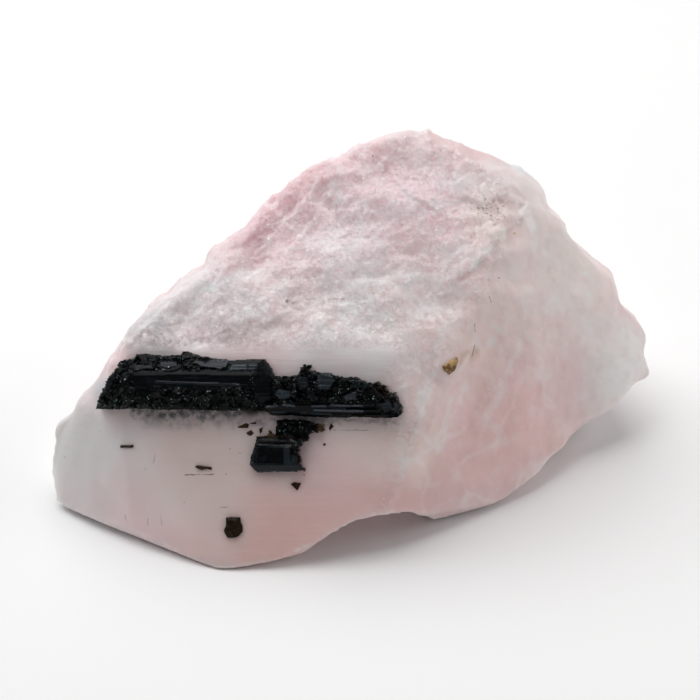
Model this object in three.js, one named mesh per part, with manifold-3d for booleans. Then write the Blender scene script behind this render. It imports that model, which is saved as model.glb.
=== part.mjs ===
// A rough, broken piece of rose quartz with black tourmaline crystals grown into its front face.
// Millimetres, +Z up. The stone lies on its flat underside at Z = 0, the origin is the middle of
// its box, and the face with the crystals looks towards -Y and up.

import * as THREE from 'three';
import { ConvexGeometry } from 'three/addons/geometries/ConvexGeometry.js';
import { ImprovedNoise } from 'three/addons/math/ImprovedNoise.js';
import { mergeVertices } from 'three/addons/utils/BufferGeometryUtils.js';
import Module from 'manifold-3d';

const wasm = await Module();
wasm.setup();

// Driving dimensions.
const frontStep = 4.2; // longest edge of the mesh on the faces that look forwards and up
const backStep = 8; // the same on the back
const undersideStep = 14; // and on the flat underside
const backFrom = 23; // Y past which the surface counts as the back
const groundLevel = 0.01; // what lies lower than this is the underside
const footBlend = 5; // height over which the roughness fades in above the underside
const crystalGap = 0.3; // clearance between a crystal and its pocket in the quartz
const rootDepth = 4.5; // how far the tourmaline reaches into the quartz

// The front face, a nearly flat break that leans back. The crystals lie in it, along its X.
const frontFace = {
  anchor: [-15.2, -22.5, 24.9],
  lean: 53, // degrees from the ground
  turn: -10, // degrees about the vertical
  lay: 5.6, // degrees that the crystals are turned in the face
};

// Corners of the break surfaces that bound the stone, as [x, y, z].
const footprint = [
  [-27, -38, 0],
  [-21, -39, 0],
  [-8, -34, 0],
  [24, -20, 0],
  [38, -6, 0],
  [47, 4, 0],
  [50, 22, 0],
  [30, 34, 0],
  [-10, 33, 0],
  [-38, 18, 0],
  [-50, -4, 0],
  [-52, -20, 0],
  [-40, -30, 0],
];
const lowerRim = [
  [-24.4, -40.6, 0.2],
  [-31, -37.4, 2.2],
  [-42.1, -32, 3.4],
  [-51.6, -26.4, 1.9],
  [-58.3, -21.6, 1.2],
  [-16.7, -40, 1.5],
  [-7.6, -37.5, 2.8],
  [17.6, -26, 2.6],
  [26, -22.7, 1.2],
  [29.4, -21.7, 1.2],
  [32.6, -19, 1.9],
  [38, -13.6, 5.4],
  [48.8, -3.6, 9.4],
  [54.2, 1.6, 12.4],
  [61.6, 5.3, 13.4],
];
const leftNose = [
  [-59.6, -16.8, 5],
  [-57.8, -13.3, 12.2],
  [-54.4, -12, 16.5],
  [-47.6, -12, 25.2],
  [-45.3, -8, 30.1],
];
const ridge = [
  [-40.7, -3, 33.5],
  [-29.6, 3.8, 37.6],
  [-18, 9.8, 50.2],
  [-7.5, 15, 56.8],
  [3.9, 18, 61.9],
  [11.4, 20, 63.2],
  [14.5, 20.5, 61.6],
  [24.3, 21.5, 56.4],
  [34, 21, 54],
  [38, 20.5, 50.8],
];
const rightEdge = [
  [38.9, 21, 45],
  [49.3, 21, 32.2],
  [53.8, 20, 28.4],
  [55.4, 16.5, 21.9],
  [61.4, 12, 19.2],
  [56.5, 24, 15.4],
];
const frontBrow = [
  [-45.3, -12, 30.9],
  [-24.2, -14.3, 33.5],
  [-9.5, -15.5, 35],
  [8, -16, 36.8],
  [17.1, -12, 38.4],
  [22.8, -9, 41.1],
  [-28.9, -10, 34.7],
  [-3.8, -8, 40.3],
];
const frontCorner = [
  [15.8, -20.6, 29.9],
  [11.8, -29.6, 18.3],
  [6, -35, 9.6],
  [1, -36, 8.6],
  [-3.2, -36.6, 7],
];
const rightBrow = [
  [27.8, -6, 42.4],
  [32.9, 2, 48.7],
  [37, 10, 53],
];
const rightBulge = [
  [42.2, 2.4, 25.8],
  [37.8, -9.4, 14.9],
  [25.6, -20.8, 8.6],
];
const back = [
  [-30, 22, 30],
  [2, 33, 42],
  [27, 36, 40],
  [44, 35, 24],
  [-46, 8, 14],
  [-20, 32, 14],
  [20, 41, 14],
  [50, 33, 8],
];
const corners = [
  footprint,
  lowerRim,
  leftNose,
  ridge,
  rightEdge,
  frontBrow,
  frontCorner,
  rightBrow,
  rightBulge,
  back,
].flat();

// The hollow under the lower rim, between the front tip and the right foot: an egg-shaped bite.
const undercut = { at: [3, -31, -2.5], radii: [15, 11.5, 12.2], sides: 20, rings: 14 };

// Soft forms of the break surfaces: round a point or a line of points, the surface moves by
// up to the given amount, over the given width.
const softForms = [
  // The nick in the left edge, and shallow bays in the right one.
  { along: [[-50, -12, 24]], width: 4.5, move: [1.1, 0.4, -0.5] },
  { along: [[45, 21.5, 39]], width: 7, move: [-1.2, -0.4, -1] },
  { along: [[41, -11, 5.5], [46, -6, 8]], width: 5, move: [-0.7, 0.8, 1] },
  { along: [[55.6, 18, 25.5]], width: 3.5, move: [-1, 0, -0.3] },
  { along: [[62, 8.5, 16.4]], width: 2.6, move: [-1, 0.2, 0.1] },
  // The groove above the brow, and the lit bulge between it and the front face.
  {
    along: [[-32, -7, 35.5], [-16, -5, 38.6], [0, -3, 42.5], [14, -3, 42]],
    width: 3.4,
    move: [0.4, 1.2, -1.1],
  },
  { along: [[-6, -11.5, 38.3], [8, -11, 40]], width: 5, move: [-0.2, -0.9, 0.9] },
  // Flutes that run down the upper left face.
  { along: [[-21, 8.5, 47.5]], width: 3.5, move: [0.6, 0.4, -0.8] },
  { along: [[-31, 3, 40]], width: 5, move: [0.8, 0.5, -1] },
  { along: [[-36, -5, 35.5], [-31, 1.5, 38.6]], width: 2.6, move: [0.3, 0.5, -0.9] },
  { along: [[-29, -3, 39], [-23, 5, 45]], width: 2.8, move: [0.4, 0.6, -1] },
  { along: [[-19, -1, 43], [-12, 8, 51]], width: 3.2, move: [0.4, 0.6, -1] },
  { along: [[-25, 1, 42.5], [-19, 8, 48.5]], width: 2.6, move: [-0.4, -0.6, 0.8] },
  // The step in the upper part of that face, and the swell beside it.
  { along: [[-6, 9, 54], [-1, 2, 48.5], [8, 3, 50]], width: 3.4, move: [0.3, 0.8, -1.2] },
  { along: [[3, 11, 56.5], [14, 9, 54]], width: 6, move: [-0.3, -0.8, 1] },
  // The pit with stained grains below the summit.
  { along: [[25, 10, 49.5], [30, 9, 46.5]], width: 4, move: [-0.2, 1.2, -1.4] },
  // Long scallops that run down the right face.
  { along: [[24, -10, 31], [20, -23, 12]], width: 4, move: [-0.7, 0.9, -0.5] },
  { along: [[33, -2, 32], [31, -16, 12]], width: 4.5, move: [0.5, -0.6, 0.4] },
  { along: [[44, 9, 31], [41, -6, 12]], width: 5, move: [-0.7, 0.9, -0.5] },
  { along: [[50, 14, 27], [52, 3, 14]], width: 4, move: [0.4, -0.5, 0.4] },
  // Conchoidal hollows on the back.
  { along: [[-12, 27, 36]], width: 13, move: [0.5, -4, -2.6] },
  { along: [[26, 37, 27]], width: 12, move: [0, -3.4, -1.2] },
  { along: [[-36, 20, 16]], width: 11, move: [2.2, -3, -0.6] },
];

// Ridges worn rounder than the others, and how far from them that shows.
const wornRidges = [
  { along: [[17, -12, 38.4], [15.8, -20.6, 29.9], [11.8, -29.6, 18.3], [4, -33, 11]], width: 5 },
  { along: [[37, 10, 53], [32.9, 2, 48.7], [27.8, -6, 42.4], [17.1, -12, 38.4]], width: 6 },
  { along: [[-45.3, -12, 30.9], [-24.2, -14.3, 33.5], [-9.5, -15.5, 35], [8, -16, 36.8]], width: 4 },
];
const wearRounds = 3; // smoothing rounds
const wearEverywhere = 0.08; // part of the way to the neighbours' middle, in each round
const wearOnRidges = 0.5;

// Layers of roughness on the break surfaces: wavelength and height.
const roughness = [
  { length: 24, height: 0.8 },
  { length: 8.5, height: 0.6 },
  { length: 4.2, height: 0.4 },
];
// The smooth front face keeps a share of the roughness, up to some distance off it and past its end.
const calm = { share: 0.2, offFace: [1, 4], pastEnd: [20, 28] };

// Tourmaline, as bundles of parallel prisms in the front face. Each runs from one X to another,
// covers the face between two Y, stands out by a height, and has its long edges bevelled.
const longCrystalPrisms = [
  // The thick left crystal, whose left end is cut off slanting.
  { from: -36, to: 0.9, low: -0.1, high: 2.4, out: 2.6, bevel: 0.5 },
  { from: -36, to: 1.4, low: 1.6, high: 4.6, out: 3.5, bevel: 0.6 },
  { from: -36, to: 1.2, low: 3.8, high: 6.6, out: 4.1, bevel: 0.5 },
  { from: -36, to: 0.9, low: 5.6, high: 8.6, out: 4.4, bevel: 0.7 },
  { from: -36, to: -0.3, low: 7.6, high: 10, out: 3.6, bevel: 0.8 },
  { from: -26.1, to: -15.5, low: 8.6, high: 10.9, out: 3, bevel: 0.6 },
  { from: -14.6, to: -10.4, low: 8.6, high: 10.2, out: 3.2, bevel: 0.5 },
  // The broken right crystal.
  { from: 4, to: 25.3, low: -1.4, high: 0.3, out: 1.4, bevel: 0.3 },
  { from: -2, to: 25.4, low: 0, high: 2, out: 2, bevel: 0.3 },
  { from: 0, to: 24.2, low: 1.6, high: 4.5, out: 2.7, bevel: 0.5 },
  { from: 0.5, to: 18.8, low: 3.6, high: 6, out: 3.3, bevel: 0.7 },
  { from: 1, to: 5.6, low: 5, high: 6.6, out: 2.6, bevel: 0.4 },
  { from: 6.5, to: 8.1, low: 5, high: 8.3, out: 3.4, bevel: 0.3 },
  { from: 8, to: 12.1, low: 5, high: 7.2, out: 3, bevel: 0.5 },
  { from: 12, to: 15, low: 5, high: 6.7, out: 2.7, bevel: 0.5 },
  { from: 15, to: 17.9, low: 4.6, high: 6.2, out: 3, bevel: 0.5 },
  { from: 18.6, to: 22.3, low: 2.6, high: 4.9, out: 3.1, bevel: 0.6 },
  { from: 22.2, to: 24.7, low: 1, high: 3.4, out: 3, bevel: 0.5 },
];
const longCrystalEnd = {
  at: [-34.1, -0.1, 0],
  slant: 28.5, // degrees that the end leans over along the face
  slope: 14, // degrees that it falls back towards its top
  cutOff: [12, 60, 30], // the box that takes away what lies past the end
};
const stubPrisms = [
  { from: -2.6, to: 5.6, low: -11.9, high: -10.4, out: 0.9, bevel: 0.5 },
  { from: -3.6, to: 4.6, low: -11, high: -8.4, out: 1.8, bevel: 0.5 },
  { from: -3.1, to: 4.9, low: -8.8, high: -6.4, out: 2.1, bevel: 0.4 },
  { from: -2.2, to: 5.2, low: -6.8, high: -5, out: 1.7, bevel: 0.4 },
  { from: 4.4, to: 6.9, low: -11.6, high: -9.9, out: 1, bevel: 0.3 },
  { from: 4.6, to: 6, low: -10.3, high: -7.9, out: 1.2, bevel: 0.3 },
  { from: 4.8, to: 7.4, low: -6.9, high: -4.7, out: 1.2, bevel: 0.3 },
  // The crumbly patch above the stub.
  { from: 1.4, to: 7.7, low: -5.2, high: -2.3, out: 1.2, bevel: 0.4 },
  { from: 7.2, to: 10.7, low: -4.3, high: -2.7, out: 1, bevel: 0.3 },
];
const smallCrystalPrisms = [
  { from: -8.4, to: -5.1, low: -24.4, high: -22.6, out: 0.9, bevel: 0.4 },
  { from: -8.2, to: -4.9, low: -23.2, high: -21.6, out: 1.3, bevel: 0.4 },
  { from: -7.9, to: -5.7, low: -22.2, high: -20.4, out: 1, bevel: 0.4 },
];
const leftNeedlePrisms = [{ from: -29.5, to: -26.7, low: -7.5, high: -6.8, out: -0.4, bevel: 0.25 }];
const middleNeedlePrisms = [
  { from: -14.4, to: -12.2, low: -11.3, high: -10.4, out: 0.5, bevel: 0.25 },
  { from: -12.4, to: -11.3, low: -11.5, high: -10.9, out: 0.4, bevel: 0.2 },
];
const flatChip = {
  outline: [[4, -13.6], [5.4, -15.3], [5.9, -14.2], [6.6, -13.4]],
  root: 2.2,
  out: 0.2,
};
const sharpCorners = 1.6; // a grown outline's corners move this much further than its sides

// The stained grain sunk in the right face.
const grain = {
  at: [19.1, -16.8, 31.2],
  radius: 2,
  stretch: [0.9, 0.8, 1],
  detail: 1,
};

const noise = new ImprovedNoise();

const vector = ([x, y, z]) => new THREE.Vector3(x, y, z);

// A closed geometry as a solid that can be joined and cut.
function solidFrom(geometry) {
  const bare = new THREE.BufferGeometry().setAttribute('position', geometry.getAttribute('position'));
  if (geometry.index) bare.setIndex(geometry.index);
  const merged = mergeVertices(bare, 1e-3);
  return new wasm.Manifold(
    new wasm.Mesh({
      numProp: 3,
      vertProperties: merged.getAttribute('position').array,
      triVerts: new Uint32Array(merged.index.array),
    }),
  );
}

function geometryFrom(solid) {
  const mesh = solid.getMesh();
  return new THREE.BufferGeometry()
    .setAttribute('position', new THREE.BufferAttribute(mesh.vertProperties, 3))
    .setIndex(new THREE.BufferAttribute(mesh.triVerts, 1));
}

function joined(geometries) {
  return geometries.map(solidFrom).reduce((whole, piece) => whole.add(piece));
}

// The frame of the front face: X along the crystals, Y up the face, Z out of the stone.
const faceFrame = new THREE.Object3D();
faceFrame.position.fromArray(frontFace.anchor);
faceFrame.rotation.set(
  THREE.MathUtils.degToRad(frontFace.lean),
  0,
  THREE.MathUtils.degToRad(frontFace.turn),
  'ZYX',
);
faceFrame.rotateZ(THREE.MathUtils.degToRad(frontFace.lay));
faceFrame.updateMatrixWorld();
const intoFace = faceFrame.matrixWorld.clone().invert();

// Distance from a point to a line of points.
const nearest = new THREE.Vector3();
function distanceTo(line, p) {
  if (line.length === 1) return p.distanceTo(line[0]);
  let distance = Infinity;
  for (let i = 1; i < line.length; i++) {
    new THREE.Line3(line[i - 1], line[i]).closestPointToPoint(p, true, nearest);
    distance = Math.min(distance, nearest.distanceTo(p));
  }
  return distance;
}

function nearness({ along, width }, p) {
  return Math.exp(-((distanceTo(along, p) / width) ** 2));
}

const asVectors = (form) => ({ ...form, along: form.along.map(vector) });
const forms = softForms.map((form) => ({ ...asVectors(form), move: vector(form.move) }));
const ridges = wornRidges.map(asVectors);

function stepAt(a, b) {
  if (a.z < groundLevel && b.z < groundLevel) return undersideStep;
  return (a.y + b.y) / 2 > backFrom ? backStep : frontStep;
}

// Halves the longest edge of every triangle until none is longer than the step asked for there.
function refined(points, faces) {
  const middles = new Map();
  const middleOf = (a, b) => {
    const key = a < b ? `${a},${b}` : `${b},${a}`;
    if (!middles.has(key)) {
      middles.set(key, points.push(points[a].clone().add(points[b]).multiplyScalar(0.5)) - 1);
    }
    return middles.get(key);
  };
  const excess = (a, b) => points[a].distanceTo(points[b]) / stepAt(points[a], points[b]);
  const done = [];
  const waiting = [...faces];
  while (waiting.length > 0) {
    const [a, b, c] = waiting.pop();
    const turns = [[a, b, c], [b, c, a], [c, a, b]];
    const [from, to, other] = turns.reduce((best, turn) =>
      excess(turn[0], turn[1]) > excess(best[0], best[1]) ? turn : best,
    );
    if (excess(from, to) <= 1) {
      done.push([a, b, c]);
      continue;
    }
    const middle = middleOf(from, to);
    waiting.push([from, middle, other], [middle, to, other]);
  }
  return done;
}

// Moves each point part of the way to the middle of its neighbours, more near the worn ridges.
function worn(points, faces) {
  const neighbours = points.map(() => new Set());
  faces.forEach(([a, b, c]) => {
    neighbours[a].add(b).add(c);
    neighbours[b].add(c).add(a);
    neighbours[c].add(a).add(b);
  });
  const amounts = points.map((p) => {
    const near = Math.max(...ridges.map((line) => nearness(line, p)));
    return wearEverywhere + (wearOnRidges - wearEverywhere) * near;
  });
  for (let round = 0; round < wearRounds; round++) {
    const middles = points.map((p, i) => {
      const sum = new THREE.Vector3();
      neighbours[i].forEach((k) => sum.add(points[k]));
      return sum.divideScalar(neighbours[i].size);
    });
    points.forEach((p, i) => {
      if (p.z > groundLevel) p.lerp(middles[i], amounts[i]);
    });
  }
}

function roughHeight(p) {
  return roughness.reduce((height, { length, height: top }, i) => {
    const f = 1 / length;
    return height + top * noise.noise(p.x * f + i * 7.3, p.y * f - i * 3.1, p.z * f + i * 5.7);
  }, 0);
}

// How much of the roughness a point keeps: little on the front face, none at the foot.
function roughShare(p) {
  const inFace = p.clone().applyMatrix4(intoFace);
  const offFace = THREE.MathUtils.smoothstep(Math.abs(inFace.z), ...calm.offFace);
  const pastEnd = THREE.MathUtils.smoothstep(inFace.x, ...calm.pastEnd);
  const share = THREE.MathUtils.lerp(calm.share, 1, Math.max(offFace, pastEnd));
  return share * THREE.MathUtils.smoothstep(p.z, 0, footBlend);
}

// The list's numbers in threes: points from coordinates, triangles from indices.
function threes(list) {
  return Array.from({ length: list.length / 3 }, (_, i) => [...list.slice(3 * i, 3 * i + 3)]);
}

function brokenStone() {
  const bite = new THREE.SphereGeometry(1, undercut.sides, undercut.rings)
    .scale(...undercut.radii)
    .translate(...undercut.at);
  const block = solidFrom(new ConvexGeometry(corners.map(vector))).subtract(solidFrom(bite)).getMesh();
  const points = threes(block.vertProperties).map(vector);
  const faces = refined(points, threes(block.triVerts));
  worn(points, faces);
  points.forEach((p) => {
    const height = p.z;
    const from = p.clone();
    forms.forEach((form) => p.addScaledVector(form.move, nearness(form, from)));
    if (height < groundLevel) p.z = 0;
  });
  const stone = new THREE.BufferGeometry().setFromPoints(points).setIndex(faces.flat());
  stone.computeVertexNormals();
  const position = stone.getAttribute('position');
  const normal = stone.getAttribute('normal');
  points.forEach((p, i) => {
    const n = new THREE.Vector3().fromBufferAttribute(normal, i);
    p.addScaledVector(n, roughShare(p) * roughHeight(p));
    position.setXYZ(i, p.x, p.y, Math.max(p.z, 0));
  });
  return stone;
}

// One prism of a bundle, in the frame of the front face, grown on all sides by a margin.
function prism({ from, to, low, high, out, bevel }, margin) {
  const bottom = low - margin;
  const top = high + margin;
  const height = out + margin;
  const section = new THREE.Shape([
    new THREE.Vector2(bottom, -rootDepth - margin),
    new THREE.Vector2(top, -rootDepth - margin),
    new THREE.Vector2(top, height - bevel),
    new THREE.Vector2(top - bevel, height),
    new THREE.Vector2(bottom + bevel, height),
    new THREE.Vector2(bottom, height - bevel),
  ]);
  const length = to - from + 2 * margin;
  return new THREE.ExtrudeGeometry(section, { depth: length, steps: 1, bevelEnabled: false })
    .applyMatrix4(new THREE.Matrix4().makeBasis(
      new THREE.Vector3(0, 1, 0),
      new THREE.Vector3(0, 0, 1),
      new THREE.Vector3(1, 0, 0),
    ))
    .translate(from - margin, 0, 0)
    .applyMatrix4(faceFrame.matrixWorld);
}

const bundle = (prisms, margin) => joined(prisms.map((one) => prism(one, margin)));

// The long crystal: its bundle without what lies past the slanting end.
function longCrystal(margin) {
  const past = new THREE.BoxGeometry(...longCrystalEnd.cutOff)
    .translate(-longCrystalEnd.cutOff[0] / 2 - margin, 0, 0)
    .rotateY(THREE.MathUtils.degToRad(longCrystalEnd.slope))
    .rotateZ(THREE.MathUtils.degToRad(-longCrystalEnd.slant))
    .translate(...longCrystalEnd.at)
    .applyMatrix4(faceFrame.matrixWorld);
  return bundle(longCrystalPrisms, margin).subtract(solidFrom(past));
}

// The flat chip, and its pocket when it is grown by a margin.
function chip(margin) {
  const corners = flatChip.outline.map(([x, y]) => new THREE.Vector2(x, y));
  const middle = corners.reduce((sum, corner) => sum.add(corner), new THREE.Vector2());
  middle.divideScalar(corners.length);
  const grown = corners.map((corner) => {
    const spoke = corner.clone().sub(middle);
    return spoke.setLength(spoke.length() + sharpCorners * margin).add(middle);
  });
  const depth = flatChip.root + flatChip.out + 2 * margin;
  const plate = new THREE.ExtrudeGeometry(new THREE.Shape(grown), { depth, steps: 1, bevelEnabled: false });
  return solidFrom(plate.translate(0, 0, -flatChip.root - margin).applyMatrix4(faceFrame.matrixWorld));
}

function stainedGrain(margin) {
  const ball = new THREE.IcosahedronGeometry(grain.radius, grain.detail)
    .scale(...grain.stretch.map((s) => s + margin / grain.radius))
    .translate(...grain.at);
  return solidFrom(ball);
}

// Each piece in the quartz, with a function for its solid grown by a margin.
const bundleOf = (prisms) => (margin) => bundle(prisms, margin);
const pieces = [
  { name: 'long_tourmaline_crystal', color: '#15181b', solid: longCrystal },
  { name: 'tourmaline_stub', color: '#14171a', solid: bundleOf(stubPrisms) },
  { name: 'small_tourmaline_crystal', color: '#1d1714', solid: bundleOf(smallCrystalPrisms) },
  { name: 'left_tourmaline_needle', color: '#2a241c', solid: bundleOf(leftNeedlePrisms) },
  { name: 'middle_tourmaline_needle', color: '#3a3623', solid: bundleOf(middleNeedlePrisms) },
  { name: 'tourmaline_chip', color: '#24271b', solid: chip },
  { name: 'stained_grain', color: '#a97a3c', solid: stainedGrain },
];

const specimen = new THREE.Group();
specimen.name = 'rose_quartz_specimen';

let stone = solidFrom(brokenStone());
for (const { name, color, solid } of pieces) {
  const finish = new THREE.MeshStandardMaterial({ color, roughness: 0.2, metalness: 0 });
  const mesh = new THREE.Mesh(geometryFrom(solid(0)), finish);
  mesh.name = name;
  specimen.add(mesh);
  stone = stone.subtract(solid(crystalGap));
}

const quartz = new THREE.Mesh(
  geometryFrom(stone),
  new THREE.MeshStandardMaterial({ color: '#dcc3c6', roughness: 0.45, metalness: 0 }),
);
quartz.name = 'quartz';
specimen.add(quartz);

// The origin is the middle of the stone's box, on the ground.
const middle = new THREE.Box3().setFromObject(quartz).getCenter(new THREE.Vector3());
specimen.position.set(-middle.x, -middle.y, 0);

export default specimen;
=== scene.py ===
# A rough piece of pale pink rose quartz with black tourmaline crystals in its smooth front face.
# Metres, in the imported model's frame: the stone rests on z = 0 and its front looks towards -Y.
import math
import random

import bmesh
import bpy
import numpy as np
from mathutils import Matrix, Vector, noise
from mathutils.bvhtree import BVHTree


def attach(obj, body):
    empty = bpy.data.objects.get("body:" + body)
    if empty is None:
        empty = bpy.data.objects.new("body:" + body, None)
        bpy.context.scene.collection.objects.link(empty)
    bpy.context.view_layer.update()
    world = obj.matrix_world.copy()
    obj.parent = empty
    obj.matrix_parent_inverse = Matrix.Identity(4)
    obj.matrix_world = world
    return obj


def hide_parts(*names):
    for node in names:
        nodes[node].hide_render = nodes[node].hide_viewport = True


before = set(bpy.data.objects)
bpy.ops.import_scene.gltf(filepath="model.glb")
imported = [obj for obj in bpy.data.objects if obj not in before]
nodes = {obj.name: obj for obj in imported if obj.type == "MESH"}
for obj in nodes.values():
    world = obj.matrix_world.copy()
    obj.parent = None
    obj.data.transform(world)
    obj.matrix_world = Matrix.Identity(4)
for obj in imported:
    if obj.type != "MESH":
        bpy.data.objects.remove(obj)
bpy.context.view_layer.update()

mm = 0.001
noise.seed_set(7)  # or else the tilts that noise_vector gives change with the clock

# Camera and studio

view = {
    "lens": 100,
    "sensor": 36,
    "clipStart": 0.01,
    "lookDown": 35,  # degrees
    "distance": 0.389,
    "target": (-0.0009, 0.0003, 0.023),
    "photoSize": 700,  # pixels on each side of the photograph
}

studio = {
    "floorSize": 3.0,
    "floorColor": (0.95, 0.95, 0.95),
    "floorRoughness": 0.9,
    "floorSpecular": 0.1,
    "worldColor": (0.92, 0.96, 1.0),
    "worldStrength": 0.12,
    # place, size, energy and colour; each light looks at the stone
    "lights": {
        "overhead": ((-0.15, 0.27, 0.72), 0.9, 6.6, (1.0, 0.99, 0.98)),
        "leftWindow": ((-0.62, 0.22, 0.4), 0.5, 1.15, (0.94, 0.97, 1.0)),
        "rightFill": ((0.7, 0.0, 0.42), 0.5, 1.6, (1.0, 0.98, 0.97)),
    },
}


def makeObject(name, mesh):
    piece = bpy.data.objects.new(name, mesh)
    bpy.context.scene.collection.objects.link(piece)
    return piece


def placeCamera():
    down = math.radians(view["lookDown"])
    forward = Vector((0, math.cos(down), -math.sin(down)))
    data = bpy.data.cameras.new("camera")
    data.lens = view["lens"]
    data.sensor_width = view["sensor"]
    data.clip_start = view["clipStart"]
    camera = makeObject("camera", data)
    camera.location = Vector(view["target"]) - forward * view["distance"]
    camera.rotation_euler = forward.to_track_quat("-Z", "Y").to_euler()
    bpy.context.scene.camera = camera
    return camera


def buildStudio():
    half = studio["floorSize"] / 2
    corners = [(-half, -half, 0), (half, -half, 0), (half, half, 0), (-half, half, 0)]
    mesh = bpy.data.meshes.new("floor")
    mesh.from_pydata(corners, [], [(0, 1, 2, 3)])
    makeObject("floor", mesh)
    paper = bpy.data.materials.new("palePaper")
    paper.use_nodes = True
    surface = paper.node_tree.nodes["Principled BSDF"]
    surface.inputs["Base Color"].default_value = (*studio["floorColor"], 1)
    surface.inputs["Roughness"].default_value = studio["floorRoughness"]
    surface.inputs["Specular IOR Level"].default_value = studio["floorSpecular"]
    mesh.materials.append(paper)

    world = bpy.data.worlds.new("studio")
    world.use_nodes = True
    background = world.node_tree.nodes["Background"]
    background.inputs["Color"].default_value = (*studio["worldColor"], 1)
    background.inputs["Strength"].default_value = studio["worldStrength"]
    bpy.context.scene.world = world
    bpy.context.scene.view_settings.view_transform = "Standard"

    aim = Vector(view["target"])
    for name, (where, size, energy, color) in studio["lights"].items():
        data = bpy.data.lights.new(name, "AREA")
        data.shape = "SQUARE"
        data.size = size
        data.energy = energy
        data.color = color
        light = makeObject(name, data)
        light.location = where
        light.rotation_euler = (aim - Vector(where)).to_track_quat("-Z", "Y").to_euler()


print("camera and studio")
camera = placeCamera()
buildStudio()
bpy.context.view_layer.update()

# The front face: X along the crystals, Y up the face, Z out of the stone

frontFace = {
    "anchor": (-0.0161, -0.0222, 0.0249),
    "lean": 53,  # degrees from the ground
    "turn": -10,  # about the vertical
    "lay": 5.6,  # of the crystals in the face
}


def faceMatrix():
    turn = Matrix.Rotation(math.radians(frontFace["turn"]), 4, "Z")
    lean = Matrix.Rotation(math.radians(frontFace["lean"]), 4, "X")
    lay = Matrix.Rotation(math.radians(frontFace["lay"]), 4, "Z")
    return Matrix.Translation(frontFace["anchor"]) @ turn @ lean @ lay


ontoFace = faceMatrix()
intoFace = ontoFace.inverted()
faceAcross, faceUp, faceOut = (ontoFace.to_3x3().col[i].normalized() for i in range(3))


photoMiddle = view["photoSize"] / 2  # pixels
photoFocal = view["lens"] / view["sensor"] * view["photoSize"]  # pixels


def rayThrough(px, py):  # from the camera through a pixel of the photograph
    local = Vector(((px - photoMiddle) / photoFocal, (photoMiddle - py) / photoFocal, -1))
    return camera.location.copy(), (camera.matrix_world.to_3x3() @ local).normalized()


def onPhoto(points):  # where the photograph shows each point
    x, y, z = ((points - np.array(camera.location)) @ np.array(camera.matrix_world.to_3x3())).T
    return photoMiddle - photoFocal * x / z, photoMiddle + photoFocal * y / z


def besideLine(px, py, line):  # distance to a line of pixels, less than nought on its right
    nearest = np.full(len(px), np.inf)
    side = np.ones(len(px))
    for (x0, y0), (x1, y1) in zip(line, line[1:]):
        dx, dy = x1 - x0, y1 - y0
        along = np.clip(((px - x0) * dx + (py - y0) * dy) / (dx * dx + dy * dy), 0, 1)
        distance = np.hypot(px - x0 - along * dx, py - y0 - along * dy)
        turned = dy * (px - x0) - dx * (py - y0)
        side = np.where(distance < nearest, np.sign(turned), side)
        nearest = np.minimum(distance, nearest)
    return nearest * side


def treeOf(mesh):
    bm = bmesh.new()
    bm.from_mesh(mesh)
    tree = BVHTree.FromBMesh(bm)
    bm.free()
    return tree


def arrayOf(mesh, what="co"):
    values = np.zeros(len(mesh.vertices) * 3, np.float32)
    if what == "co":
        mesh.vertices.foreach_get("co", values)
    else:
        mesh.vertex_normals.foreach_get("vector", values)
    return values.reshape(-1, 3).astype(float)


def setPoints(mesh, points):
    mesh.vertices.foreach_set("co", points.astype(np.float32).ravel())
    mesh.update()


def smoothStep(low, high, values):
    t = np.clip((values - low) / (high - low), 0, 1)
    return t * t * (3 - 2 * t)


def noiseAt(points, size, shift=0):  # points in mm, sizes per axis in mm
    scaled = points / np.asarray(size, float) + shift
    return np.array([noise.noise(Vector(p)) for p in scaled])


def brokenAt(points, size, shift=0):  # tilted flat facets, in units of their size, and scoops
    scaled = points / np.asarray(size, float) + shift
    facets, scoops = [], []
    for p in map(Vector, scaled):
        distances, seeds = noise.voronoi(p)
        facets.append(noise.noise_vector(seeds[0] * 7.31).dot(p - seeds[0]))
        scoops.append(distances[0])
    return np.array(facets), np.array(scoops)


# Rose quartz: the CAD stone without its pockets, remeshed, worn and broken finely

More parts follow.
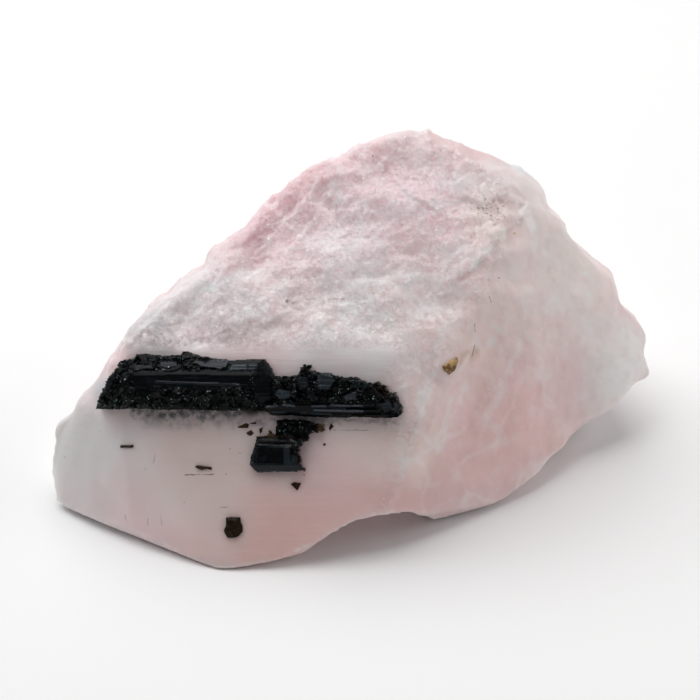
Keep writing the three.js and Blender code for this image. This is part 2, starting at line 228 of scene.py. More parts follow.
stoneShape = {
    "voxel": 0.52 * mm,
    "pocketReach": 0.62 * mm,  # how far a pocket's wall is from its crystal
    "wearRounds": 10,
    # part of the way to the neighbours' middle in each round of wear
    "wear": {"broken": 0.35, "front": 0.5, "right": 0.6, "foot": 0.1},
    "foot": 0.3 * mm,  # what lies lower is the underside
    "footBlend": (0.2, 2.5),  # mm above the ground over which the fine forms fade in
    # what sank in under the crystals: mm across, up and out of the front face, and where it comes back to
    "sunk": {"box": [(-17, 7), (-1, 8.5), (-6, -0.5)], "raisedTo": -0.4},
    # the slope's fall line, and the way the right face's scallops run, with a direction beside each
    "fallLine": [(-0.55, -0.5, -0.67), (0, 0, 1)],
    "slant": [(-0.35, -0.45, -0.82), (0.6, -0.6, 0.5)],
    # size of the break facets along the fall line, across it and outwards, in mm
    "breaks": {
        "coarse": (8, 4.5, 4.5),
        "small": (3.4, 2.2, 2.2),
        "tiny": (1.6, 1.15, 1.15),
        "behind": (15, 11, 11),
        "right": (9, 5, 5),
    },
    # steps left where flakes broke off: line of pixels, mm that its left side stands proud, reach in pixels
    "flakes": [
        ([(345, 210), (331, 212), (318, 207), (306, 200), (302, 189)], 0.3, 24),
        ([(312, 186), (303, 202), (290, 215), (278, 227), (262, 246)], 0.35, 20),
        ([(262, 233), (247, 240), (232, 247)], -0.35, 12),
        ([(468, 272), (481, 262), (492, 251), (503, 233), (515, 224)], 0.6, 26),
        ([(455, 178), (463, 196), (480, 206)], 0.3, 14),
        ([(500, 204), (520, 213), (527, 200), (519, 190)], -0.35, 12),
        ([(398, 178), (412, 196), (430, 207)], 0.3, 16),
        ([(372, 262), (395, 256), (420, 262)], -0.15, 16),
        ([(205, 343), (240, 328), (290, 310), (345, 301)], -0.15, 26),
        ([(432, 372), (424, 400), (412, 430), (402, 468)], 0.3, 18),
    ],
    # small pushes at the outline: pixels, mm outwards, reach in pixels
    "rimPushes": [
        ((270, 197), 0.8, 11), ((290, 182), 0.4, 9), ((60, 427), 1.2, 14), ((85, 395), 0.8, 16),
        ((105, 365), 0.5, 14), ((610, 272), 0.9, 10), ((645, 374), 0.8, 8), ((560, 445), 0.4, 10),
        ((54, 455), 0.5, 14), ((200, 262), -1.0, 9), ((167, 291), -0.7, 9), ((245, 224), -0.6, 9),
        ((342, 152), -0.9, 11), ((482, 151), -1.0, 11), ((552, 202), -1.1, 12), ((572, 235), -0.7, 8),
        ((626, 302), -1.2, 11), ((625, 395), -0.7, 12), ((520, 487), -0.8, 10), ((222, 250), 0.3, 6),
        ((182, 282), 0.3, 6), ((310, 168), 0.3, 7),
    ],
    # broad swells and hollows of the slope: pixel, mm outwards, reach across and down in pixels
    "swells": [
        ((385, 174), -1.5, 52, 24), ((375, 255), 1.2, 55, 26), ((440, 286), 1.0, 30, 22),
        ((338, 280), 0.9, 24, 16), ((250, 297), 1.8, 34, 26), ((308, 232), -1.0, 26, 22),
        ((372, 324), -1.1, 32, 20), ((297, 290), 0.9, 26, 14), ((300, 258), -0.5, 24, 12),
        ((395, 282), 0.8, 34, 14), ((395, 252), -0.5, 34, 12), ((215, 318), 0.7, 30, 14),
        ((368, 230), 0.7, 38, 14), ((272, 309), 0.6, 24, 12), ((275, 283), -0.4, 24, 12),
    ],
    # the soft bevel between the slope and the front face
    "bevel": {"line": [(190, 338), (270, 312), (345, 302), (440, 296)], "depth": 1.1, "width": 30},
}


def keepLargestPart(bm):  # faces that share edges make a part
    waiting = dict.fromkeys(bm.faces)
    parts = []
    while waiting:
        first = next(iter(waiting))
        del waiting[first]
        edge, part = [first], []
        while edge:
            face = edge.pop()
            part.append(face)
            for near in [f for e in face.edges for f in e.link_faces if f in waiting]:
                if near in waiting:
                    del waiting[near]
                    edge.append(near)
        parts.append(part)
    parts.sort(key=len)
    bmesh.ops.delete(bm, geom=[face for part in parts[:-1] for face in part], context="FACES")


def closedStone():
    bm = bmesh.new()
    bm.from_mesh(nodes["quartz"].data)
    bmesh.ops.remove_doubles(bm, verts=bm.verts, dist=1e-6)
    bm.normal_update()
    crystals = bmesh.new()
    for name, node in nodes.items():
        if name != "quartz":
            crystals.from_mesh(node.data)
    tree = BVHTree.FromBMesh(crystals)
    crystals.free()

    def inPocket(face):
        middle = face.calc_center_median()
        near = tree.find_nearest(middle, stoneShape["pocketReach"])[0]
        return near is not None and (near - middle).normalized().dot(face.normal) > 0.5

    walls = [face for face in bm.faces if inPocket(face)]
    bmesh.ops.delete(bm, geom=walls, context="FACES")
    keepLargestPart(bm)  # the rest belongs to the pockets
    rims = [e for e in bm.edges if e.is_boundary]
    bmesh.ops.triangle_fill(bm, use_beauty=True, edges=rims, normal=faceOut)
    bmesh.ops.holes_fill(bm, edges=[e for e in bm.edges if e.is_boundary], sides=8)
    openEdges = sum(e.is_boundary for e in bm.edges)
    print(f"  {len(walls)} pocket faces, {len(rims)} rim edges, {openEdges} still open")
    mesh = bpy.data.meshes.new("closedStone")
    bm.to_mesh(mesh)
    bm.free()
    return mesh


def remeshed(mesh, voxel):
    piece = makeObject("remeshed", mesh)
    modifier = piece.modifiers.new("remesh", "REMESH")
    modifier.mode = "VOXEL"
    modifier.voxel_size = voxel
    result = bpy.data.meshes.new_from_object(piece.evaluated_get(bpy.context.evaluated_depsgraph_get()))
    bpy.data.objects.remove(piece)
    return result


def worn(points, edges, rounds, amount):  # smooths, and gives the lost volume back in every second round
    a, b = edges.T
    count = len(points)
    degree = np.bincount(a, minlength=count) + np.bincount(b, minlength=count)
    for turn in range(rounds * 2):
        middles = np.stack(
            [
                np.bincount(a, points[b, i], count) + np.bincount(b, points[a, i], count)
                for i in range(3)
            ],
            axis=1,
        ) / degree[:, None]
        share = amount if turn % 2 == 0 else -amount * 0.97
        points = points + (middles - points) * share[:, None]
    return points


# Where each kind of surface begins and ends: mm in the front face's frame, or how much it faces that way
regionEdges = {
    "frontOut": (1.0, 3.5),
    "frontAcross": (20, 27),
    "frontUp": (10.5, 13.5),
    "frontFacing": (0.8, 0.95),
    "noseAcross": (-23, -30),
    "noseUp": (4, 9),
    "noseFacing": (-0.2, 0.3),
    "rightFacing": (0.15, 0.5),
    "rightToBehind": (0.1, 0.5),
    "behindFacing": (0.0, 0.5),
}


def inFrontFace(points):  # mm across, up and out of the front face
    return (points / mm - np.array(ontoFace.translation) / mm) @ np.array(ontoFace.to_3x3())


def regionsOf(points, normals):  # how much each vertex belongs to the kinds of surface
    edges = regionEdges
    inFace = inFrontFace(points)
    across, up, out = inFace.T
    facing = normals @ np.array(faceOut)
    front = 1 - smoothStep(*edges["frontOut"], np.abs(out))
    front *= 1 - smoothStep(*edges["frontAcross"], across)
    front *= smoothStep(*edges["frontFacing"], facing)
    front *= 1 - smoothStep(*edges["frontUp"], up)
    nose = smoothStep(*edges["noseAcross"], across) * (1 - smoothStep(*edges["noseUp"], up))
    front = np.maximum(front, nose * smoothStep(*edges["noseFacing"], facing))
    right = smoothStep(*edges["rightFacing"], normals[:, 0])
    right *= 1 - smoothStep(*edges["rightToBehind"], normals[:, 1])
    right *= 1 - front
    behind = smoothStep(*edges["behindFacing"], normals[:, 1]) * (1 - front) * (1 - right)
    broken = 1 - np.maximum.reduce([front, right, behind])
    return {"front": front, "right": right, "behind": behind, "broken": broken, "inFace": inFace}


def directionsAlong(first, beside):  # three directions at right angles, as the columns of an array
    along = Vector(first).normalized()
    sideways = along.cross(Vector(beside)).normalized()
    return np.array([along, sideways, sideways.cross(along)]).T


def brokenRelief(at, region):  # shallow scoops down the slope, with fine facets, and hollows on the back
    sizes = stoneShape["breaks"]
    down = at @ directionsAlong(*stoneShape["fallLine"])
    bent = down + 1.2 * np.stack([noiseAt(at, 5, s) for s in (1, 4, 9)], axis=1)
    facets, scoops = brokenAt(bent, sizes["coarse"])
    smallFacets, smallScoops = brokenAt(bent, sizes["small"], 11)
    tinyFacets, _ = brokenAt(bent, sizes["tiny"], 23)
    rough = 0.22 * (scoops**2 - 0.25) + 0.22 * facets + 0.28 * smallFacets + 0.12 * (smallScoops**2 - 0.2)
    rough += 0.22 * tinyFacets
    largeFacets, largeScoops = brokenAt(at + 2 * (bent - down), sizes["behind"], 41)
    hollows = 1.3 * (largeScoops**2 - 0.3) + 0.8 * largeFacets + 0.4 * facets
    return (region["broken"] + region["behind"]) * rough + region["behind"] * hollows


def waxyRelief(at, region):  # long soft scallops of the right face
    along = at @ directionsAlong(*stoneShape["slant"])
    waxy = 0.45 * noiseAt(along, (16, 6, 9), 3) + 0.12 * noiseAt(along, (6, 3, 4), 7)
    waxy += 0.09 * noiseAt(at, 1.6, 5) + 0.12 * brokenAt(along, stoneShape["breaks"]["right"], 31)[0]
    return region["right"] * waxy


def growthLines(region):  # faint lines of the front face, along the crystals
    lines = 0.1 * noiseAt(region["inFace"], (22, 5, 9), 2)
    lines += 0.035 * noiseAt(region["inFace"], (14, 0.9, 5), 8)
    return region["front"] * lines


def addPlacedRelief(height, points, normals):  # what the photograph shows at named places
    at = points / mm
    px, py = onPhoto(points)
    towards = normals @ -np.array(rayThrough(photoMiddle, photoMiddle)[1])
    seen = smoothStep(0.05, 0.3, towards)
    rimward = 1 - smoothStep(0.2, 0.6, np.abs(towards))
    for line, step, reach in stoneShape["flakes"]:
        beside = besideLine(px + 3 * noiseAt(at, 2.2, 6), py + 3 * noiseAt(at, 2.2, 15), line)
        rise = step * smoothStep(-2, 2, beside) * (1 - smoothStep(0, reach, np.abs(beside)))
        height += seen * rise
    for (x, y), push, reach in stoneShape["rimPushes"]:
        height += rimward * push * np.exp(-((px - x) ** 2 + (py - y) ** 2) / reach**2)
    for (x, y), swell, across, fall in stoneShape["swells"]:
        height += seen * swell * np.exp(-(((px - x) / across) ** 2) - ((py - y) / fall) ** 2)
    bevel = stoneShape["bevel"]
    share = besideLine(px, py, bevel["line"]) / bevel["width"]
    height -= seen * bevel["depth"] * np.exp(-share * share)


def flatUnderside(mesh):  # few large triangles on the ground, where nothing shows
    onGround = 1e-7
    bm = bmesh.new()
    bm.from_mesh(mesh)
    low = {v for v in bm.verts if v.co.z < onGround}
    flat = [v for v in bm.verts if v in low and all(e.other_vert(v) in low for e in v.link_edges)]
    bmesh.ops.dissolve_verts(bm, verts=flat)
    bmesh.ops.triangulate(bm, faces=bm.faces, quad_method="SHORT_EDGE", ngon_method="BEAUTY")
    for face in bm.faces:
        face.smooth = any(v.co.z > onGround for v in face.verts)
    result = bpy.data.meshes.new("roseQuartz")
    bm.to_mesh(result)
    bm.free()
    return result


def wearDown(mesh):
    points = arrayOf(mesh)
    edges = np.zeros(len(mesh.edges) * 2, np.int32)
    mesh.edges.foreach_get("vertices", edges)
    ground = points[:, 2] < stoneShape["foot"]
    region = regionsOf(points, arrayOf(mesh, "normal"))
    wear = stoneShape["wear"]
    amount = wear["broken"] + (wear["front"] - wear["broken"]) * region["front"]
    amount += (wear["right"] - wear["broken"]) * region["right"]
    amount = np.where(ground, wear["foot"], amount)
    points = worn(points, edges.reshape(-1, 2), stoneShape["wearRounds"], amount)
    points[ground, 2] = 0
    # what sank in under the crystals comes back up to the face
    sunk = stoneShape["sunk"]
    inFace = inFrontFace(points)
    inside = np.ones(len(points), bool)
    for values, (low, high) in zip(inFace.T, sunk["box"]):
        inside &= (values > low) & (values < high)
    points[inside] += np.outer(sunk["raisedTo"] - inFace[inside, 2], np.array(faceOut)) * mm
    setPoints(mesh, points)
    return points, ground


def stoneMesh():
    mesh = remeshed(closedStone(), stoneShape["voxel"])
    points, ground = wearDown(mesh)
    normals = arrayOf(mesh, "normal")
    region = regionsOf(points, normals)
    at = points / mm
    height = brokenRelief(at, region)
    height += waxyRelief(at, region)
    height += growthLines(region)
    addPlacedRelief(height, points, normals)
    height *= smoothStep(*stoneShape["footBlend"], at[:, 2])
    points += normals * (height * mm)[:, None]
    points[ground, 2] = 0
    points[:, 2] = np.maximum(points[:, 2], 0)
    setPoints(mesh, points)
    region["broken"] = region["broken"] + region["behind"]
    for name in ("front", "right", "broken"):
        layer = mesh.attributes.new(name, "FLOAT", "POINT")
        layer.data.foreach_set("value", region[name].astype(np.float32))
    mesh = flatUnderside(mesh)
    print(f"  stone: {len(mesh.vertices)} vertices, {len(mesh.polygons)} triangles")
    return mesh


print("rose quartz")
stone = makeObject("roseQuartz", stoneMesh())
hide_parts("quartz")
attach(stone, "root")
stoneTree = treeOf(stone.data)


def onStone(px, py):  # the stone's surface at a pixel of the photograph
    return stoneTree.ray_cast(*rayThrough(px, py))[:2]


# Shader helpers and the effects that several materials share


def add(tree, kind, inputs=None, **settings):  # a shader node with its values and links
    node = tree.nodes.new("ShaderNode" + kind)
    for name, value in settings.items():
        setattr(node, name, value)
    for name, value in (inputs or {}).items():
        if isinstance(value, bpy.types.NodeSocket):
            tree.links.new(value, node.inputs[name])
        else:
            node.inputs[name].default_value = value
    return node


def maths(tree, operation, *values):
    return add(tree, "Math", dict(enumerate(values)), operation=operation).outputs[0]


def vectorMaths(tree, operation, *values):
    node = add(tree, "VectorMath", dict(enumerate(values)), operation=operation)
    return node.outputs["Value" if operation in ("DOT_PRODUCT", "DISTANCE", "LENGTH") else "Vector"]


def mixed(tree, share, first, second):  # colours
    return add(tree, "Mix", {0: share, 6: first, 7: second}, data_type="RGBA").outputs[2]


def ranged(tree, value, low, high, toLow=0.0, toHigh=1.0):
    values = {0: value, 1: low, 2: high, 3: toLow, 4: toHigh}
    return add(tree, "MapRange", values, interpolation_type="SMOOTHSTEP").outputs[0]


def objectPlace(tree):
    return add(tree, "TexCoord").outputs["Object"]


def newGroup(name, inputs, outputs):
    group = bpy.data.node_groups.new(name, "ShaderNodeTree")
    for label, kind, value in inputs:
        socket = group.interface.new_socket(label, in_out="INPUT", socket_type="NodeSocket" + kind)
        socket.default_value = value
    for label, kind in outputs:
        group.interface.new_socket(label, in_out="OUTPUT", socket_type="NodeSocket" + kind)
    return group, group.nodes.new("NodeGroupInput").outputs, group.nodes.new("NodeGroupOutput").inputs


def useGroup(tree, group, inputs):
    node = tree.nodes.new("ShaderNodeGroup")
    node.node_tree = group
    for name, value in inputs.items():
        if isinstance(value, bpy.types.NodeSocket):
            tree.links.new(value, node.inputs[name])
        else:
            node.inputs[name].default_value = value
    return node.outputs


def cloudGroup():  # soft noise about nought, for mottling and for bending other patterns
    group, given, result = newGroup(
        "cloud",
        [("Size", "Float", 0.01), ("Detail", "Float", 2.0), ("Stretch", "Vector", (1, 1, 1))],
        [("Value", "Float"), ("Bend", "Vector")],
    )
    scaled = vectorMaths(group, "DIVIDE", objectPlace(group), given["Stretch"])
    size = maths(group, "DIVIDE", 1.0, given["Size"])
    texture = add(group, "TexNoise", {"Vector": scaled, "Scale": size, "Detail": given["Detail"]})
    bend = vectorMaths(group, "SUBTRACT", texture.outputs["Color"], (0.5, 0.5, 0.5))
    group.links.new(maths(group, "SUBTRACT", texture.outputs["Fac"], 0.5), result["Value"])
    group.links.new(bend, result["Bend"])
    return group


def spotGroup():  # a soft ball round a centre
    group, given, result = newGroup(
        "spot",
        [("Place", "Vector", (0, 0, 0)), ("Centre", "Vector", (0, 0, 0)), ("Reach", "Float", 0.01)],
        [("Mask", "Float")],
    )
    distance = vectorMaths(group, "DISTANCE", given["Place"], given["Centre"])
    share = maths(group, "DIVIDE", distance, given["Reach"])
    group.links.new(ranged(group, share, 1.0, 0.25), result["Mask"])
    return group


def streakGroup():  # a line between two points
    group, given, result = newGroup(
        "streak",
        [
            ("Place", "Vector", (0, 0, 0)),
            ("Start", "Vector", (0, 0, 0)),
            ("End", "Vector", (0.01, 0, 0)),
            ("Width", "Float", 0.001),
        ],
        [("Mask", "Float")],
    )
    along = vectorMaths(group, "SUBTRACT", given["End"], given["Start"])
    fromStart = vectorMaths(group, "SUBTRACT", given["Place"], given["Start"])
    square = vectorMaths(group, "DOT_PRODUCT", along, along)
    share = maths(group, "DIVIDE", vectorMaths(group, "DOT_PRODUCT", fromStart, along), square)
    onLine = vectorMaths(group, "SCALE", along)
    group.links.new(add(group, "Clamp", {"Value": share}).outputs[0], onLine.node.inputs["Scale"])
    distance = vectorMaths(group, "DISTANCE", fromStart, onLine)
    reach = maths(group, "DIVIDE", distance, given["Width"])
    group.links.new(ranged(group, reach, 1.0, 0.2), result["Mask"])
    return group


def bentPlace(tree, size, reach):  # the place, moved about by soft noise
    clouds = useGroup(tree, cloud, {"Size": size * mm, "Detail": 1.0})
    bend = vectorMaths(tree, "SCALE", clouds["Bend"])
    bend.node.inputs["Scale"].default_value = reach * mm
    return vectorMaths(tree, "ADD", objectPlace(tree), bend)


def facetGroup():  # tiny tilted break facets, as a height, and the lines between them
    group, given, result = newGroup(
        "breakFacets",
        [("Size", "Float", 0.001), ("Bend", "Float", 0.3)],
        [("Height", "Float"), ("Edge", "Float"), ("Shade", "Float")],
    )
    size = maths(group, "DIVIDE", 1.0, given["Size"])
    clouds = useGroup(group, cloud, {"Size": maths(group, "MULTIPLY", given["Size"], 1.4), "Detail": 0.0})
    bend = vectorMaths(group, "SCALE", clouds["Bend"])
    reach = maths(group, "MULTIPLY", given["Size"], given["Bend"])
    group.links.new(maths(group, "MULTIPLY", reach, 2.0), bend.node.inputs["Scale"])
    bent = vectorMaths(group, "ADD", objectPlace(group), bend)
    cells = add(group, "TexVoronoi", {"Vector": bent, "Scale": size})
    tilt = vectorMaths(group, "SUBTRACT", cells.outputs["Color"], (0.5, 0.5, 0.5))
    # Voronoi gives its cell's middle in the same space as the coordinates
    fromMiddle = vectorMaths(group, "SUBTRACT", bent, cells.outputs["Position"])
    group.links.new(vectorMaths(group, "DOT_PRODUCT", tilt, fromMiddle), result["Height"])
    edges = add(group, "TexVoronoi", {"Vector": bent, "Scale": size}, feature="DISTANCE_TO_EDGE")
    group.links.new(ranged(group, edges.outputs["Distance"], 0.07, 0.0), result["Edge"])
    split = add(group, "SeparateColor", {0: cells.outputs["Color"]})
    group.links.new(split.outputs[0], result["Shade"])
    return group


def striaeGroup():  # fine lines along the crystals, as a height
    group, given, result = newGroup(
        "striae",
        [("Spacing", "Float", 0.001), ("Length", "Float", 0.02)],
        [("Height", "Float")],
    )
    spans = []
    for axis, span in ((faceAcross, "Length"), (faceUp, "Spacing"), (faceOut, "Spacing")):
        along = vectorMaths(group, "DOT_PRODUCT", objectPlace(group), tuple(axis))
        spans.append(maths(group, "DIVIDE", along, given[span]))
    lined = add(group, "CombineXYZ", dict(enumerate(spans))).outputs[0]
    texture = add(group, "TexNoise", {"Vector": lined, "Scale": 1.0, "Detail": 2.0, "Roughness": 0.65})
    group.links.new(maths(group, "SUBTRACT", texture.outputs["Fac"], 0.5), result["Height"])
    return group


print("shader groups")
cloud = cloudGroup()
spot = spotGroup()
streak = streakGroup()
breakFacets = facetGroup()
striae = striaeGroup()


def linear(color):  # from the usual 0 to 255 values
    shares = [c / 255 for c in color]
    return tuple(c / 12.92 if c <= 0.04045 else ((c + 0.055) / 1.055) ** 2.4 for c in shares) + (1,)


# Quartz finish. Zones and veins are placed by pixels of the photograph, on the stone's surface.

quartzLook = {
    "rose": (240, 214, 215),
    "milk": (243, 231, 230),
    "healedCracks": (254, 246, 245),
    "roughness": 0.38,
    "ior": 1.54,
    "scatter": 0.8,
    "scatterDepth": 3.4 * mm,
    "scatterRadius": (1.0, 0.86, 0.84),
    "wisps": (252, 241, 241),
    "mottling": (226, 190, 193),
    "frost": (253, 241, 241),
    # painted light and shade: shards painted paler or duller as if they caught the light differently
    "paintedLitShards": (254, 239, 240),
    "paintedShadedShards": (212, 184, 188),
    "hairlines": (198, 166, 168),
    # painted glints: near-white specks put into the colour as highlights
    "paintedSparkle": (255, 252, 250),
    # gritty brown dirt in the high hollow: colour, reach in mm, pixel
    "dirt": ((128, 104, 84), 5.5, (489, 212)),
    # colour, how much of it, reach in mm, pixel
    "zones": {
        "pinkSlope": ((240, 203, 209), 0.9, 23, (295, 215)),
        "pinkSummit": ((242, 212, 216), 0.9, 15, (362, 168)),
        "paleSummit": ((244, 226, 228), 0.8, 9, (405, 148)),
        "pinkUpper": ((255, 224, 229), 0.9, 16, (425, 200)),
        "paleMiddle": ((255, 236, 239), 0.8, 15, (350, 242)),
        "frostedLeft": ((250, 246, 248), 0.95, 13, (180, 304)),
        "pinkFlute": ((240, 218, 220), 0.8, 9, (224, 262)),
        "paleLowerSlope": ((255, 243, 244), 0.85, 11, (240, 306)),
        "greyLeftEdge": ((206, 208, 211), 0.9, 10, (146, 322)),
        "greyAboveCrystal": ((200, 196, 197), 0.8, 9, (158, 342)),
        "greyOverCrystal": ((216, 208, 209), 0.6, 9, (225, 342)),
        "whiteBulge": ((255, 242, 241), 0.9, 17, (368, 324)),
        "paleAboveCrystal": ((248, 238, 238), 0.8, 7, (300, 351)),
        "paleOverRightEnd": ((255, 242, 241), 0.8, 8, (365, 350)),
        "paleBesideBulge": ((255, 241, 240), 0.8, 13, (425, 297)),
        "paleShelf": ((255, 226, 227), 0.8, 10, (455, 255)),
        "paleRight": ((255, 236, 232), 0.95, 27, (570, 270)),
        # pink of the stone, darkened with painted shade where the rim turns down
        "shadedPinkRightRim": ((238, 209, 203), 0.8, 15, (560, 445)),
        "frostedRightEdge": ((255, 245, 242), 0.85, 13, (632, 360)),
        "pinkRight": ((255, 226, 222), 0.9, 18, (483, 340)),
        # pink of the stone, darkened with painted shade towards the bottom rim
        "shadedPinkLowRight": ((245, 207, 203), 0.9, 24, (495, 430)),
        "pinkShadedLowRim": ((230, 194, 190), 0.9, 19, (410, 500)),
        "paleByCrystal": ((250, 229, 223), 0.85, 15, (390, 432)),
        # pink of the stone, darkened with painted shade towards the bottom rim
        "shadedPinkFrontLow": ((234, 197, 191), 0.95, 26, (285, 555)),
        "beigeFront": ((226, 208, 203), 0.85, 19, (200, 458)),
        "greyNose": ((222, 223, 221), 0.92, 28, (60, 452)),
        "greyNoseTop": ((196, 197, 199), 0.8, 5, (103, 379)),
        "frostedVeil": ((245, 236, 235), 0.8, 7, (460, 183)),
        "greyVeil": ((230, 219, 217), 0.8, 7, (533, 203)),
        "whiteBrow": ((238, 246, 248), 0.9, 5.5, (514, 170)),
        "dirtyPatch": ((215, 199, 190), 0.85, 8, (492, 213)),
    },
    # frayed veins: colour, how much, width in mm, first pixel, last pixel
    "veins": [
        ((253, 247, 245), 0.6, 1.5, (431, 376), (416, 418)),
        ((253, 247, 245), 0.45, 1.3, (452, 400), (436, 452)),
        ((253, 247, 245), 0.45, 1.5, (417, 425), (402, 468)),
        ((253, 247, 245), 0.4, 1.2, (470, 372), (460, 400)),
        ((253, 247, 245), 0.35, 1.4, (520, 345), (486, 420)),
        ((253, 248, 246), 0.9, 1.1, (503, 233), (471, 270)),
        ((250, 244, 242), 0.8, 1.5, (528, 212), (534, 250)),
        ((250, 244, 242), 0.8, 1.0, (517, 199), (524, 214)),
        ((250, 242, 240), 0.6, 1.3, (500, 328), (492, 342)),
        ((253, 249, 247), 0.7, 1.1, (582, 268), (587, 272)),
        ((253, 249, 247), 0.7, 0.9, (588, 294), (591, 301)),
        # greyish band along the ledge above the crystal: partly the stone's colour, partly painted shade
        ((212, 202, 201), 0.5, 2.6, (228, 334), (335, 305)),
        ((216, 182, 186), 0.5, 1.8, (262, 246), (292, 208)),
        ((214, 186, 168), 0.7, 1.3, (462, 358), (477, 352)),
    ],
    # cracks, scratches, thin needles and painted shadow lines, in the same way
    "lines": [
        # dark lines along the flake steps: cracks with painted shadow under the raised flakes
        ((190, 160, 162), 0.55, 0.25, (303, 190), (311, 204)),
        ((190, 160, 162), 0.55, 0.3, (311, 204), (336, 212)),
        ((194, 164, 166), 0.5, 0.25, (309, 207), (281, 224)),
        ((194, 166, 168), 0.45, 0.22, (281, 224), (262, 246)),
        # dark line along the same ledge: painted shadow under its edge
        ((150, 132, 128), 0.6, 0.2, (306, 299), (344, 299)),
        ((90, 66, 54), 0.8, 0.14, (185, 475), (214, 474)),
        ((110, 84, 70), 0.6, 0.12, (334, 430), (371, 430)),
        ((100, 70, 60), 0.8, 0.14, (220, 507), (228, 507)),
        ((130, 110, 104), 0.6, 0.12, (125, 515), (127, 523)),
        ((130, 110, 104), 0.6, 0.12, (148, 519), (148, 525)),
        ((130, 110, 104), 0.5, 0.12, (161, 515), (162, 525)),
        ((120, 104, 98), 0.6, 0.12, (155, 455), (153, 463)),
        ((120, 92, 72), 0.7, 0.2, (475, 345), (472, 356)),
        ((120, 92, 82), 0.6, 0.14, (489, 296), (491, 302)),
        ((120, 92, 82), 0.6, 0.16, (475, 324), (475, 332)),
    ],
    # colour, how much, reach in mm, pixel
    "specks": [
        ((90, 70, 70), 0.9, 0.32, (373, 156)),
        ((110, 84, 84), 0.8, 0.22, (383, 230)),
        ((110, 84, 84), 0.7, 0.2, (295, 260)),
        ((100, 80, 76), 0.7, 0.26, (235, 242)),
        ((110, 84, 84), 0.7, 0.2, (300, 293)),
        ((110, 90, 88), 0.7, 0.2, (440, 158)),
        ((100, 76, 74), 0.8, 0.24, (488, 280)),
        ((100, 76, 74), 0.8, 0.22, (499, 278)),
        ((110, 90, 88), 0.7, 0.2, (425, 286)),
        ((100, 82, 74), 0.7, 0.22, (467, 205)),
        ((96, 92, 92), 0.7, 0.5, (287, 301)),
        ((96, 92, 92), 0.6, 0.4, (293, 303)),
        ((140, 106, 62), 0.9, 0.6, (493, 201)),
        ((110, 86, 66), 0.8, 0.5, (485, 199)),
        ((206, 168, 118), 0.8, 0.5, (514, 233)),
        # painted glint: a near-white speck standing in for a highlight
        ((255, 250, 244), 1.0, 0.6, (518, 222)),
        ((90, 70, 64), 0.8, 0.24, (145, 469)),
        ((90, 74, 70), 0.7, 0.18, (186, 425)),
        ((96, 76, 70), 0.7, 0.18, (230, 448)),
        ((96, 76, 70), 0.7, 0.18, (240, 453)),
        ((96, 76, 70), 0.7, 0.18, (226, 474)),
        ((110, 96, 92), 0.6, 0.18, (100, 431)),
        ((110, 96, 92), 0.6, 0.2, (64, 457)),
        ((104, 82, 78), 0.6, 0.18, (184, 502)),
        ((70, 52, 44), 0.9, 0.24, (304, 475)),
    ],
    # blotches under the long crystal, where it shows through, and a painted shadow strip under the right
    # crystal: as the veins
    "smokeAndShadow": [
        ((58, 60, 72), 0.9, 1.7, (136, 412), (238, 412)),
        ((104, 100, 104), 0.6, 2.4, (236, 413), (262, 416)),
        # painted shadow: a thin dark strip under the right crystal's lower edge
        ((120, 112, 112), 0.55, 1.1, (272, 420), (396, 421)),
        ((140, 134, 136), 0.45, 3.0, (150, 419), (230, 418)),
    ],
    # where the painted glints gather: reach in mm, pixel
    "paintedGlints": [(3.2, (318, 250)), (2.0, (271, 282)), (2.6, (166, 306)), (8, (345, 322)), (4, (470, 172))],
}


def attribute(tree, name):
    return add(tree, "Attribute", attribute_name=name, attribute_type="GEOMETRY").outputs["Fac"]


def valuesOf(mesh, name):
    values = np.zeros(len(mesh.vertices), np.float32)
    mesh.attributes[name].data.foreach_get("value", values)
    return values.astype(float)


